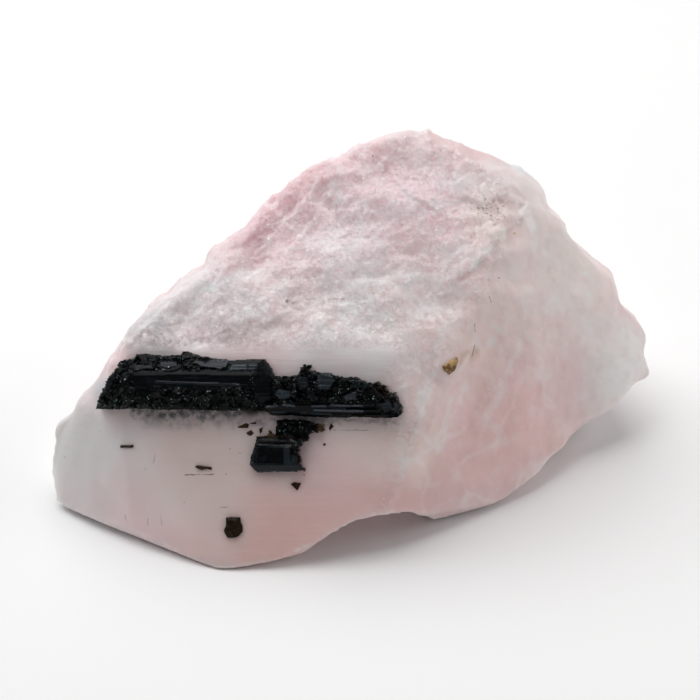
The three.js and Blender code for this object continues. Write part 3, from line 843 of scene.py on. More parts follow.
def paintStone(mesh):  # the broad tints: clouds of rose and milk, the zones and the veins
    look = quartzLook
    at = arrayOf(mesh) / mm
    clouds = noiseAt(at, 24) + 0.5 * noiseAt(at, 11, 3)
    share = smoothStep(-0.35, 0.35, clouds)[:, None]
    tints = (1 - share) * np.array(linear(look["rose"])) + share * np.array(linear(look["milk"]))
    spread = at + 5 * np.stack([noiseAt(at, 11, s) for s in (2, 5, 8)], axis=1)
    spread += 2 * np.stack([noiseAt(at, 4, s) for s in (12, 15, 18)], axis=1)
    frayed = at + 1.1 * np.stack([noiseAt(at, 2.6, s) for s in (22, 25, 28)], axis=1)
    frayed += 0.6 * np.stack([noiseAt(at, 1.2, s) for s in (32, 35, 38)], axis=1)

    def laid(tints, color, share):
        return tints + share[:, None] * (np.array(linear(color)) - tints)

    for color, amount, reach, pixel in look["zones"].values():
        distance = np.linalg.norm(spread - np.array(onStone(*pixel)[0]) / mm, axis=1)
        tints = laid(tints, color, amount * (1 - smoothStep(0.1, 1.0, distance / reach)))
    for color, amount, width, first, last in look["veins"]:
        start, end = (np.array(onStone(*pixel)[0]) / mm for pixel in (first, last))
        along = np.clip((frayed - start) @ (end - start) / ((end - start) @ (end - start)), 0, 1)
        distance = np.linalg.norm(frayed - start - along[:, None] * (end - start), axis=1)
        tints = laid(tints, color, amount * (1 - smoothStep(0.2, 1.0, distance / width)))
    # milky healed cracks that fade in and out
    cells = at @ np.array([(0.8, 0.2, 0.55), (-0.3, 0.95, 0.1), (-0.5, -0.25, 0.83)]).T
    cells = (cells + 2.5 * np.stack([noiseAt(at, 6, s) for s in (51, 54, 57)], axis=1)) / (9, 6, 13)
    spans = np.array([noise.voronoi(Vector(p))[0][:2] for p in cells])
    cracks = 1 - smoothStep(0.0, 0.13, spans[:, 1] - spans[:, 0])
    cracks *= smoothStep(-0.1, 0.35, noiseAt(at, 8, 63)) * (1 - valuesOf(mesh, "front"))
    tints = laid(tints, look["healedCracks"], 0.4 * cracks)
    layer = mesh.attributes.new("tint", "FLOAT_COLOR", "POINT")
    layer.data.foreach_set("color", tints.astype(np.float32).ravel())


def mottled(tree, color, front):  # milky wisps and rosy mottling in the stone, fainter on the front face
    wisps = useGroup(tree, cloud, {"Size": 0.0036, "Detail": 4.0})["Value"]
    calm = ranged(tree, front, 0.2, 0.9, 1.0, 0.25)
    pale = maths(tree, "MULTIPLY", ranged(tree, wisps, 0.0, 0.2, 0.0, 0.26), calm)
    color = mixed(tree, pale, color, linear(quartzLook["wisps"]))
    rosy = maths(tree, "MULTIPLY", ranged(tree, wisps, 0.0, -0.2, 0.0, 0.2), calm)
    return mixed(tree, rosy, color, linear(quartzLook["mottling"]))


def spotAt(tree, where, pixel, reach):
    inputs = {"Place": where, "Centre": onStone(*pixel)[0], "Reach": reach * mm}
    return useGroup(tree, spot, inputs)["Mask"]


def streakAlong(tree, where, first, last, width):
    inputs = {"Place": where, "Start": onStone(*first)[0], "End": onStone(*last)[0], "Width": width * mm}
    return useGroup(tree, streak, inputs)["Mask"]


def marked(tree, color, frayed, wavy):  # cracks with painted shadow lines, specks with a painted glint, smoke with a painted shadow strip, and dirt
    look = quartzLook
    for tint, amount, width, first, last in look["lines"]:
        mask = streakAlong(tree, wavy, first, last, width)
        color = mixed(tree, maths(tree, "MULTIPLY", mask, amount), color, linear(tint))
    for tint, amount, reach, pixel in look["specks"]:
        mask = spotAt(tree, wavy, pixel, reach)
        color = mixed(tree, maths(tree, "MULTIPLY", mask, amount), color, linear(tint))
    blotches = useGroup(tree, cloud, {"Size": 0.0013, "Detail": 2.0})["Value"]
    for tint, amount, width, first, last in look["smokeAndShadow"]:
        mask = maths(tree, "MULTIPLY", streakAlong(tree, frayed, first, last, width), amount)
        mask = maths(tree, "MULTIPLY", mask, ranged(tree, blotches, -0.16, 0.12, 0.15, 1.0))
        color = mixed(tree, mask, color, linear(tint))
    tint, reach, pixel = look["dirt"]
    crumbs = useGroup(tree, cloud, {"Size": 0.0006, "Detail": 1.0})["Value"]
    crumbs = ranged(tree, crumbs, 0.08, 0.2, 0.0, 0.85)
    dirt = maths(tree, "MULTIPLY", spotAt(tree, frayed, pixel, reach), crumbs)
    return mixed(tree, dirt, color, linear(tint))


def sugaryGrain(tree, color, grain, broken):  # frosted grains, break shards painted lighter or darker as if they caught the light differently, with hairlines between
    look = quartzLook
    frost = maths(tree, "MULTIPLY", ranged(tree, grain["Shade"], 0.55, 1.0, 0.0, 0.32), broken)
    color = mixed(tree, frost, color, linear(look["frost"]))
    shards = useGroup(tree, breakFacets, {"Size": 2.4 * mm, "Bend": 0.9})
    # painted light and shade on the break shards
    paintedLit = maths(tree, "MULTIPLY", ranged(tree, shards["Shade"], 0.4, 1.0, 0.0, 0.34), broken)
    color = mixed(tree, paintedLit, color, linear(look["paintedLitShards"]))
    paintedShade = maths(tree, "MULTIPLY", ranged(tree, shards["Shade"], 0.5, 0.0, 0.0, 0.15), broken)
    color = mixed(tree, paintedShade, color, linear(look["paintedShadedShards"]))
    gaps = useGroup(tree, cloud, {"Size": 0.006, "Detail": 0.0})["Value"]
    hairs = maths(tree, "MULTIPLY", shards["Edge"], ranged(tree, gaps, 0.0, 0.15, 0.0, 0.22))
    return mixed(tree, maths(tree, "MULTIPLY", hairs, broken), color, linear(look["hairlines"])), gaps


def paintedGlintMask(tree, gaps, frayed, broken):  # painted glints: few grains painted near white as highlights, more of them where they gather
    sparks = useGroup(tree, breakFacets, {"Size": 0.34 * mm, "Bend": 0.2})["Shade"]
    gathered = maths(tree, "MULTIPLY", ranged(tree, gaps, 0.05, 0.25), 0.008)
    for reach, pixel in quartzLook["paintedGlints"]:
        mask = spotAt(tree, frayed, pixel, reach)
        gathered = maths(tree, "ADD", gathered, maths(tree, "MULTIPLY", mask, 0.05))
    bright = maths(tree, "GREATER_THAN", sparks, maths(tree, "SUBTRACT", 0.9985, gathered))
    return maths(tree, "MULTIPLY", bright, ranged(tree, broken, 0.3, 0.8))


def quartzMaterial():
    look = quartzLook
    material = bpy.data.materials.new("roseQuartz")
    material.use_nodes = True
    tree = material.node_tree
    surface = tree.nodes["Principled BSDF"]
    front, right, broken = (attribute(tree, name) for name in ("front", "right", "broken"))
    frayed, wavy = bentPlace(tree, 2.2, 3.2), bentPlace(tree, 1.4, 0.5)
    grain = useGroup(tree, breakFacets, {"Size": 0.55 * mm, "Bend": 0.6})
    color = add(tree, "Attribute", attribute_name="tint", attribute_type="GEOMETRY").outputs["Color"]
    color = mottled(tree, color, front)
    color = marked(tree, color, frayed, wavy)
    color, gaps = sugaryGrain(tree, color, grain, broken)
    paintedGlints = paintedGlintMask(tree, gaps, frayed, broken)
    # painted glints: near-white specks in the colour, standing in for highlights of tiny facets
    color = mixed(tree, paintedGlints, color, linear(look["paintedSparkle"]))
    tree.links.new(color, surface.inputs["Base Color"])
    # relief finer than the mesh
    sugary = maths(tree, "ADD", maths(tree, "MULTIPLY", broken, 0.4), maths(tree, "MULTIPLY", right, 0.12))
    fine = maths(tree, "MULTIPLY", grain["Height"], sugary)
    lined = useGroup(tree, striae, {"Spacing": 0.5 * mm, "Length": 12 * mm})["Height"]
    lined = maths(tree, "MULTIPLY", lined, maths(tree, "MULTIPLY", front, 0.06 * mm))
    bump = add(tree, "Bump", {"Height": maths(tree, "ADD", fine, lined), "Distance": 1.0, "Strength": 0.8})
    tree.links.new(bump.outputs[0], surface.inputs["Normal"])
    shine = maths(tree, "MULTIPLY", paintedGlints, -0.25)
    tree.links.new(maths(tree, "ADD", shine, look["roughness"]), surface.inputs["Roughness"])
    surface.inputs["IOR"].default_value = look["ior"]
    surface.inputs["Subsurface Weight"].default_value = look["scatter"]
    surface.inputs["Subsurface Scale"].default_value = look["scatterDepth"]
    surface.inputs["Subsurface Radius"].default_value = look["scatterRadius"]
    return material


print("quartz finish")
paintStone(stone.data)
stone.data.materials.clear()
stone.data.materials.append(quartzMaterial())

# Tourmaline. Each crystal is a relief over the front face, inside its outline in the photograph, with
# its break facets, growth lines and crumbly edges. Heights are in mm over the face, outlines in pixels.

longCrystal = {
    "cell": 0.13,  # of the grid that makes its mesh
    "height": 2.5,  # at which the outline is traced
    "root": -5.0,  # how far it reaches down into the quartz
    # pairs of pixels between which something fades in or out, across the photograph or down it
    "leftEnds": (273.5, 271.5),
    "raggedAbove": (407, 396),
    "raggedTip": (130, 110),
    "brownEnd": {"across": (372, 386), "down": (398, 388)},
    "outline": [
        (92, 409), (95, 401), (100, 392), (105, 383), (108, 377), (115, 370), (118, 362), (123, 359),
        (134, 357), (135, 354), (143, 353), (157, 355), (172, 355), (180, 353), (184, 351), (192, 354),
        (198, 356), (210, 357), (216, 359), (231, 360), (245, 359), (263, 359), (268, 365), (272, 372),
        (273, 375), (282, 376), (294, 375), (298, 372), (301, 365), (310, 365), (309, 370), (316, 371),
        (328, 373), (335, 375), (345, 377), (355, 377), (365, 381), (372, 383), (376, 381), (380, 384),
        (384, 385), (386, 390), (394, 393), (397, 396), (397, 401), (401, 406), (400, 413), (397, 417),
        (390, 418), (376, 418), (355, 417), (335, 418), (310, 417), (294, 416), (284, 415), (270, 415),
        (263, 411), (233, 411), (192, 410), (131, 409), (110, 409),
    ],
    # flat facets: pixels, how much painted sheen they get, how proud they stand
    "facets": [
        ([(192, 361), (231, 359), (226, 366), (221, 369), (201, 366)], 0.75, 0.1),
        ([(233, 365), (247, 365), (248, 370), (230, 371)], 1.0, 0.2),
        ([(250, 365), (258, 365), (256, 370), (249, 371)], 0.6, 0.15),
        ([(233, 359), (262, 359), (260, 364), (230, 364)], 0.1, 0.0),
        ([(135, 365), (152, 364), (156, 369), (137, 370)], 0.3, 0.1),
        ([(160, 362), (176, 361), (178, 366), (162, 367)], 0.35, 0.1),
        ([(108, 378), (117, 370), (113, 384), (104, 394), (99, 401), (97, 398)], 0.3, 0.1),
        ([(274, 393), (279, 390), (286, 391), (292, 393), (289, 398), (281, 399)], 1.0, 0.1),
        ([(317, 378), (321, 373), (331, 374), (334, 381), (329, 390), (319, 389)], 0.5, 0.25),
        ([(343, 395), (355, 392), (357, 399), (347, 401)], 0.5, 0.15),
        ([(348, 380), (364, 380), (363, 383), (349, 383)], 0.45, 0.15),
        ([(350, 385), (366, 385), (364, 388), (351, 388)], 0.3, 0.1),
        ([(296, 378), (306, 377), (309, 386), (300, 390)], 0.3, 0.2),
        ([(379, 404), (390, 401), (393, 409), (384, 413)], 0.35, 0.25),
        ([(393, 402), (398, 405), (398, 414), (394, 412)], 0.4, 0.1),
    ],
    # smooth black parts without crumbs
    "smooth": [
        [(134, 371), (240, 370), (252, 374), (251, 388), (180, 388), (134, 387)],
        [(260, 359), (264, 359), (272, 373), (273, 402), (262, 408), (256, 396), (254, 378)],
        [(229, 359), (262, 359), (262, 372), (229, 372)],
    ],
    "straight": [(231, 359), (264, 359), (273, 375)],
    "topSlabs": [(122, 357), (232, 356), (228, 369), (130, 371)],
    # painted sheen: a light line on the smooth band, and light slats with how much sheen, as reflections
    "sheenLine": [(158, 382), (176, 383), (215, 384), (240, 385)],
    "slats": [(263, 404), (300, 402), (372, 404), (385, 419), (263, 419)],
    "sheenSlats": [
        ([(266, 407), (277, 406)], 0.7), ([(283, 405), (294, 406)], 0.8), ([(312, 406), (325, 406)], 0.8),
        ([(331, 405), (362, 406)], 0.9), ([(272, 412), (284, 412)], 0.5), ([(314, 410), (362, 411)], 1.0),
        ([(300, 413), (330, 414)], 0.4),
    ],
}

stubCrystal = {
    "cell": 0.11,
    "height": 1.5,
    "blockHeight": 2.2,
    "root": -4.0,
    "rightSide": (292, 297),
    "brownEnd": (315, 321),
    "underTop": 464,  # the pixel row where the under bevel begins to fall away
    "outline": [
        (256, 436), (267, 436), (268, 432), (271, 429), (271, 432), (274, 435), (276, 420), (284, 419),
        (294, 420), (306, 420), (310, 422), (316, 423), (323, 425), (324, 430), (320, 432), (313, 433),
        (307, 435), (308, 440), (302, 444), (299, 448), (298, 453), (300, 458), (300, 463), (303, 467),
        (304, 471), (294, 472), (274, 472), (256, 473), (252, 468), (249, 464), (250, 457), (253, 448),
        (255, 441),
    ],
    "crumbly": [(262, 416), (330, 416), (330, 440), (296, 437), (274, 437), (262, 434)],
    "stripes": [(255, 436), (300, 436), (296, 447), (256, 447)],
    "brownPatch": [(265, 427), (274, 427), (274, 436), (265, 436)],
    "block": [(256, 447), (284, 447), (283, 464), (258, 464), (252, 460)],
    "underBevel": [(252, 462), (258, 465), (303, 465), (304, 473), (256, 474), (249, 465)],
    "sideBevel": [(248, 464), (256, 437), (259, 447), (256, 464)],
    # flats with how much painted sheen they get
    "rightFlats": [
        ([(284, 448), (290, 447), (291, 465), (284, 465)], 0.3),
        ([(292, 455), (297, 455), (297, 466), (291, 466)], 0.25),
    ],
    # lines with how much painted sheen they get, as reflections on the striations
    "sheenLines": [
        ([(257, 445), (291, 446)], 0.8), ([(258, 440), (286, 441)], 0.3), ([(291, 440), (296, 442)], 1.0),
    ],
}


def chance(a, b=0.0, seed=0.0):  # the same value from 0 to 1 for the same numbers
    return np.modf(np.abs(np.sin(a * 12.9898 + b * 78.233 + seed * 37.719) * 43758.5453))[0]


def grains(u, v, size, seed):  # tilted flat facets of crumbly breaks, in mm of height for a slope of one
    column, row = np.floor(u / size), np.floor(v / size)
    best = np.full(u.shape, np.inf)
    height, pick = np.zeros(u.shape), np.zeros(u.shape)
    for i in (-1, 0, 1):
        for j in (-1, 0, 1):
            c, r = column + i, row + j
            seedU = (c + chance(c, r, seed)) * size
            seedV = (r + chance(r, c, seed + 5)) * size
            distance = np.hypot(u - seedU, v - seedV)
            nearer = distance < best
            tiltU = 2 * chance(c, r, seed + 1) - 1
            tiltV = 2 * chance(c, r, seed + 2) - 1
            tilted = tiltU * (u - seedU) + tiltV * (v - seedV)
            best = np.where(nearer, distance, best)
            height = np.where(nearer, tilted, height)
            pick = np.where(nearer, chance(c, r, seed + 3), pick)
    return height, pick


def slats(u, v, width, length, seed):  # long steps side by side, each at a level from -1 to 1
    lane = np.floor(v / width + 0.3 * np.sin(u / length * 2.1 + seed))
    span = length * (0.5 + chance(lane, 0, seed))
    step = np.floor((u + 40 * chance(lane, 1, seed)) / span)
    return 2 * chance(lane, step, seed + 2) - 1


def insideBy(px, py, outline):  # how far inside a closed outline, in pixels, less than nought outside
    inside = np.zeros(px.shape, bool)
    nearest = np.full(px.shape, np.inf)
    for (x0, y0), (x1, y1) in zip(outline, outline[1:] + outline[:1]):
        dx, dy = x1 - x0, y1 - y0
        along = np.clip(((px - x0) * dx + (py - y0) * dy) / (dx * dx + dy * dy), 0, 1)
        nearest = np.minimum(nearest, np.hypot(px - x0 - along * dx, py - y0 - along * dy))
        if dy:
            crosses = ((y0 > py) != (y1 > py)) & (px < x0 + (py - y0) * dx / dy)
            inside ^= crosses
    return np.where(inside, nearest, -nearest)


def softly(px, py, outline, soft=1.0):
    return smoothStep(-soft, soft, insideBy(px, py, outline))


def raggedInside(px, py, outline, amount, first, second):  # inside an outline that grains make ragged
    (tiltX, pickX), (tiltY, pickY) = first, second
    shiftX = amount * (2.4 * tiltX + 1.5 * (pickX - 0.5))
    shiftY = amount * (2.4 * tiltY + 1.5 * (pickY - 0.5))
    return insideBy(px + shiftX, py + shiftY, outline)


def nearLine(px, py, line, width):
    distance = np.abs(besideLine(px.ravel(), py.ravel(), line)).reshape(px.shape)
    return 1 - smoothStep(width * 0.4, width, distance)


def faceGrid(outline, cell, height):  # a grid over the front face, round an outline in pixels
    spots = []
    for pixel in outline:
        start, way = rayThrough(*pixel)
        level = Vector(ontoFace.translation) + faceOut * height * mm
        spots.append(intoFace @ (start + way * ((level - start).dot(faceOut) / way.dot(faceOut))))
    spots = np.array(spots) / mm
    low, high = spots.min(0) - 0.8, spots.max(0) + 0.8
    u, v = np.meshgrid(np.arange(low[0], high[0], cell), np.arange(low[1], high[1], cell), indexing="ij")
    flat = np.stack([u.ravel(), v.ravel(), np.full(u.size, height)], axis=1) * mm
    points = flat @ np.array(ontoFace.to_3x3()).T + np.array(ontoFace.translation)
    px, py = onPhoto(points)
    return u, v, px.reshape(u.shape), py.reshape(u.shape)


def stoneLevel(u, v, px, py, outline):  # the stone's own surface under a small piece, as a plane
    spots, heights = [], []
    for at in np.argwhere(insideBy(px, py, outline) > -1)[::7]:
        at = tuple(at)
        hit = stoneTree.ray_cast(ontoFace @ Vector((u[at] * mm, v[at] * mm, 0.01)), -faceOut)[0]
        spots.append((u[at], v[at], 1))
        heights.append((intoFace @ hit).z / mm)
    fit = np.linalg.lstsq(np.array(spots), np.array(heights), rcond=None)[0]
    return fit[0] * u + fit[1] * v + fit[2]


def leveled(height, u, v, share, lift):  # lays a flat facet through the heights where share is one
    inside = share > 0.5
    if inside.sum() < 6:
        return height
    spots = np.stack([u[inside], v[inside], np.ones(inside.sum())], axis=1)
    fit = np.linalg.lstsq(spots, height[inside], rcond=None)[0]
    plane = fit[0] * u + fit[1] * v + fit[2] + lift
    return height + share * (plane - height)


# the walls of a crystal go down in uneven rows to just under the stone's surface, and then straight
wall = {"rows": 4, "below": 0.3, "sharpAngle": 32}


def reliefMesh(name, u, v, height, inside, tones, root, level=0.0, jitterSize=0.1):
    cells = inside[:-1, :-1] & inside[1:, :-1] & inside[:-1, 1:] & inside[1:, 1:]
    for _ in range(3):  # no two cells meet at a corner only
        a, b, c, d = cells[:-1, :-1], cells[1:, :-1], cells[:-1, 1:], cells[1:, 1:]
        cells[:-1, :-1][b & c & ~a & ~d] = False
        cells[1:, :-1][b & c & ~a & ~d] = False
        cells[:-1, :-1][a & d & ~b & ~c] = False
        cells[1:, 1:][a & d & ~b & ~c] = False
    bm = bmesh.new()
    layers = {label: bm.verts.layers.float.new(label) for label in tones}
    made = {}

    def corner(i, j):
        if (i, j) not in made:
            vert = bm.verts.new((u[i, j], v[i, j], height[i, j]))
            for label, layer in layers.items():
                vert[layer] = tones[label][i, j]
            made[i, j] = vert
        return made[i, j]

    for i, j in zip(*np.nonzero(cells)):
        bm.faces.new([corner(i, j), corner(i + 1, j), corner(i + 1, j + 1), corner(i, j + 1)])
    keepLargestPart(bm)
    rim = [e for e in bm.edges if e.is_boundary]
    for left in range(wall["rows"], -1, -1):
        grown = bmesh.ops.extrude_edge_only(bm, edges=rim)["geom"]
        lowered = [item for item in grown if isinstance(item, bmesh.types.BMVert)]
        rim = [item for item in grown if isinstance(item, bmesh.types.BMEdge) and item.is_boundary]
        for vert in lowered:
            below = level - wall["below"] - vert.co.z
            vert.co.z += below / left if left > 0 else root + wall["below"]
            if left > 0:
                jitter = noise.noise_vector(Vector((vert.co.x * 0.9, vert.co.y * 2, vert.co.z * 2.4)))
                vert.co.xy += jitter.xy * jitterSize
    bmesh.ops.triangle_fill(bm, use_beauty=False, edges=rim, normal=(0, 0, -1))
    bmesh.ops.recalc_face_normals(bm, faces=bm.faces)
    bm.transform(ontoFace @ Matrix.Scale(mm, 4))
    mesh = bpy.data.meshes.new(name)
    bm.to_mesh(mesh)
    bm.free()
    mesh.polygons.foreach_set("use_smooth", np.ones(len(mesh.polygons), bool))
    mesh.set_sharp_from_angle(angle=math.radians(wall["sharpAngle"]))
    print(f"  {name}: {len(mesh.vertices)} vertices")
    return mesh


def longCrystalMesh():
    shape = longCrystal
    u, v, px, py = faceGrid(shape["outline"], shape["cell"], shape["height"])
    # straight along the bottom and the sloping right end of the left crystal, ragged elsewhere
    ragged = smoothStep(*shape["raggedAbove"], py) * (1 - nearLine(px, py, shape["straight"], 6))
    ragged = np.clip(ragged + 0.6 * smoothStep(*shape["raggedTip"], px), 0.08, 1.2)
    edge = raggedInside(px, py, shape["outline"], ragged, grains(u, v, 0.55, 3), grains(u, v, 0.5, 9))
    lowSlats = softly(px, py, shape["slats"], 0.8)
    left = smoothStep(*shape["leftEnds"], px) * (1 - lowSlats)
    right = 1 - left
    # the faces of both crystals rise from their lower edge and lean back above
    height = left * (2.5 + 1.4 * smoothStep(-0.5, 3.6, v) - 0.42 * np.maximum(0, v - 6.4))
    height += right * (1.7 + 1.1 * smoothStep(-1.2, 1.6, v))
    height -= right * (0.16 * np.maximum(0, v - 3) + 0.03 * np.maximum(0, u))
    # crumbs of three sizes, outside the smooth parts
    sharp, step = grains(u, v, 1.5, 21)
    fine, pick = grains(u, v, 0.5, 33)
    coarse, lump = grains(u, v, 2.6, 44)
    crumbs = 0.45 * sharp + 0.45 * (step - 0.5) + 0.5 * fine + 0.3 * (pick - 0.5)
    smooth = np.maximum.reduce([softly(px, py, part, 2.0) for part in shape["smooth"]])
    grit = (1 - smooth) * (1 - lowSlats)
    height += left * grit * (0.7 * crumbs + 0.25 * coarse)
    height += (1 - lowSlats) * right * (0.4 * coarse + 0.9 * (lump - 0.55) + 0.8 * crumbs)
    thin = slats(u, v, 0.26, 9, 4)
    height += left * smooth * 0.05 * thin
    topSlabs = left * softly(px, py, shape["topSlabs"], 2)
    height += topSlabs * 0.22 * slats(u, v, 0.7, 3.4, 31)
    # the right end of the left crystal falls away
    height -= left * (0.55 * np.maximum(0, u + 2.4) + 0.25 * np.maximum(0, -27 - u))
    height += lowSlats * (0.32 * slats(u, v, 0.5, 8, 12) - 0.2)
    # painted sheen on some top slabs and a little on the smooth parts, as reflections
    paintedSheen = 0.12 * topSlabs * (slats(u, v, 0.35, 3.0, 35) > 0.4) + left * smooth * 0.03
    for outline, sheenShare, lift in shape["facets"]:
        here = softly(px + 0.8 * fine, py + 0.8 * fine, outline, 0.5)
        height = leveled(height, u, v, here, lift)
        height += here * 0.04 * thin
        paintedSheen = np.maximum(paintedSheen, here * sheenShare * (0.75 + 0.25 * thin))
        grit *= 1 - 0.8 * here
    # painted sheen along the light lines and slats
    for line, sheenShare in [(shape["sheenLine"], 0.3), *shape["sheenSlats"]]:
        here = nearLine(px, py, line, 1.6)
        height += here * 0.12
        paintedSheen = np.maximum(paintedSheen, here * sheenShare)
    # edges roll down a little towards their outline
    height -= 0.5 * (1 - smoothStep(0, 3, edge))
    brownEnd = shape["brownEnd"]
    brown = 0.35 * smoothStep(*brownEnd["across"], px) * smoothStep(*brownEnd["down"], py)
    tones = {"paintedSheen": paintedSheen, "grit": grit, "brown": brown}
    return reliefMesh("longCrystal", u, v, height, edge > 0, tones, shape["root"])


def stubMesh():
    shape = stubCrystal
    u, v, px, py = faceGrid(shape["outline"], shape["cell"], shape["height"])
    crumbly = softly(px, py, shape["crumbly"], 1.5)
    rightSide = smoothStep(*shape["rightSide"], px)
    loose = np.clip(np.maximum(crumbly, rightSide), 0.05, 1)
    edge = raggedInside(px, py, shape["outline"], loose, grains(u, v, 0.5, 13), grains(u, v, 0.45, 19))
    fine, pick = grains(u, v, 0.45, 53)
    coarse, lump = grains(u, v, 1.2, 57)
    crumbs = 0.5 * fine + 0.3 * (pick - 0.5) + 0.45 * coarse + 0.5 * (lump - 0.5)
    height = 2.0 - 0.9 * crumbly + loose * crumbs
    thin = slats(u, v, 0.3, 6, 8)
    stripes = softly(px, py, shape["stripes"], 1)
    height += stripes * (0.22 * slats(u, v, 0.6, 8, 9) - 0.1 + 0.05 * thin)
    block = softly(px, py, shape["block"], 0.7)
    height += block * (shape["blockHeight"] + 0.02 * thin - height)
    under = softly(px, py, shape["underBevel"], 0.7)
    height += under * (shape["blockHeight"] - 0.75 * np.maximum(0, (py - shape["underTop"]) * 0.2) - height)
    side = softly(px, py, shape["sideBevel"], 0.7)
    height -= side * 0.8
    # painted sheen on the bevels, the block, the right flats and the lines, as reflections
    paintedSheen = 0.22 * under + 0.14 * side + 0.02 * block
    for outline, sheenShare in shape["rightFlats"]:
        here = softly(px, py, outline, 0.6)
        height = leveled(height, u, v, here, 0.05)
        paintedSheen = np.maximum(paintedSheen, here * sheenShare)
    for line, sheenShare in shape["sheenLines"]:
        here = nearLine(px, py, line, 1.3)
        height += here * 0.1
        paintedSheen = np.maximum(paintedSheen, here * sheenShare)
    height -= 0.4 * (1 - smoothStep(0, 2.5, edge))
    brown = crumbly * smoothStep(*shape["brownEnd"], px)
    brown += softly(px, py, shape["brownPatch"], 1)
    brown = np.clip(brown + 0.12 * stripes, 0, 1)
    tones = {"paintedSheen": paintedSheen, "grit": np.clip(loose * (1 - block), 0, 1) * 0.8, "brown": brown}
    return reliefMesh("stubCrystal", u, v, height, edge > 0, tones, shape["root"])


# Small pieces: outline in pixels, height over the face, how deep they reach, how rough they are, how much
# painted sheen they get
fineCell = 0.07
smallPieces = {
    "smallCrystal": {
        "node": "small_tourmaline_crystal",
        "outline": [
            (226, 517), (240, 517), (241, 522), (243, 528), (242, 533), (239, 536), (234, 538), (228, 538),
            (225, 534), (224, 530), (226, 525),
        ],
        "height": 0.8, "root": -2.0, "rough": 0.24, "round": 4, "paintedSheen": 0.08,
        "grit": 0.6, "brown": 0.35,
    },
    "leftNeedle": {
        "node": "left_tourmaline_needle",
        "outline": [(118, 445), (132, 445), (133, 446), (131, 448), (118, 448)],
        "height": 0.35, "root": -1.2, "rough": 0.08, "round": 1.6, "paintedSheen": 0.3,
        "grit": 0.15, "brown": 1.0,
    },
    "middleNeedle": {
        "node": "middle_tourmaline_needle",
        "outline": [
            (195, 466), (198, 465), (204, 466), (212, 467), (212, 470), (207, 469), (201, 470), (196, 468),
        ],
        "height": 0.35, "root": -1.2, "rough": 0.12, "round": 1.6, "paintedSheen": 0.2,
        "grit": 0.15, "brown": 1.0,
    },
    "flatChip": {
        "node": "tourmaline_chip",
        "outline": [(290, 484), (294, 482), (301, 483), (299, 487), (297, 491), (294, 488)],
        "height": 0.3, "root": -1.0, "rough": 0.12, "round": 1.6, "paintedSheen": 0.1,
        "grit": 0.15, "brown": 1.0,
    },
}


def smallPieceMesh(name):
    shape = smallPieces[name]
    u, v, px, py = faceGrid(shape["outline"], fineCell, shape["height"])
    first, second = grains(u, v, 0.4, 3), grains(u, v, 0.4, 17)
    edge = raggedInside(px, py, shape["outline"], shape["rough"], first, second)
    fine, pick = grains(u, v, 0.5, 6)
    height = shape["height"] * (0.45 + 0.55 * np.sqrt(np.clip(edge / shape["round"], 0, 1)))
    height += shape["rough"] * (0.9 * fine + 0.5 * (pick - 0.5))
    # painted sheen inside, away from the edge, varied from grain to grain
    paintedSheen = shape["paintedSheen"] * smoothStep(0.6, 1.4, edge) * (0.6 + 0.8 * pick)
    ground = stoneLevel(u, v, px, py, shape["outline"])
    level = ground[edge > 0].mean()
    tones = {"paintedSheen": paintedSheen}
    for label in ("grit", "brown"):
        tones[label] = np.full(u.shape, shape[label])
    return reliefMesh(name, u, v, height + ground, edge > 0, tones, shape["root"], level, jitterSize=0.03)


# Black and brown tourmaline finishes. The meshes say where it gets painted sheen, where it is crumbly and
# where it is brown.

tourmalineLook = {
    "clouds": (12, 26, 28),
    "ior": 1.63,
    "specular": 0.07,
    "coatRoughness": 0.12,
    # per finish: own colour, painted sheen (lit), painted glints and brown stain
    "tints": {
        "black": {
            "color": (5, 7, 8), "lit": (62, 71, 80), "glint": (150, 182, 178), "brown": (84, 58, 30),
        },
        "brown": {
            "color": (16, 11, 9), "lit": (116, 88, 56), "glint": (150, 120, 90), "brown": (30, 20, 14),
        },
    },
}


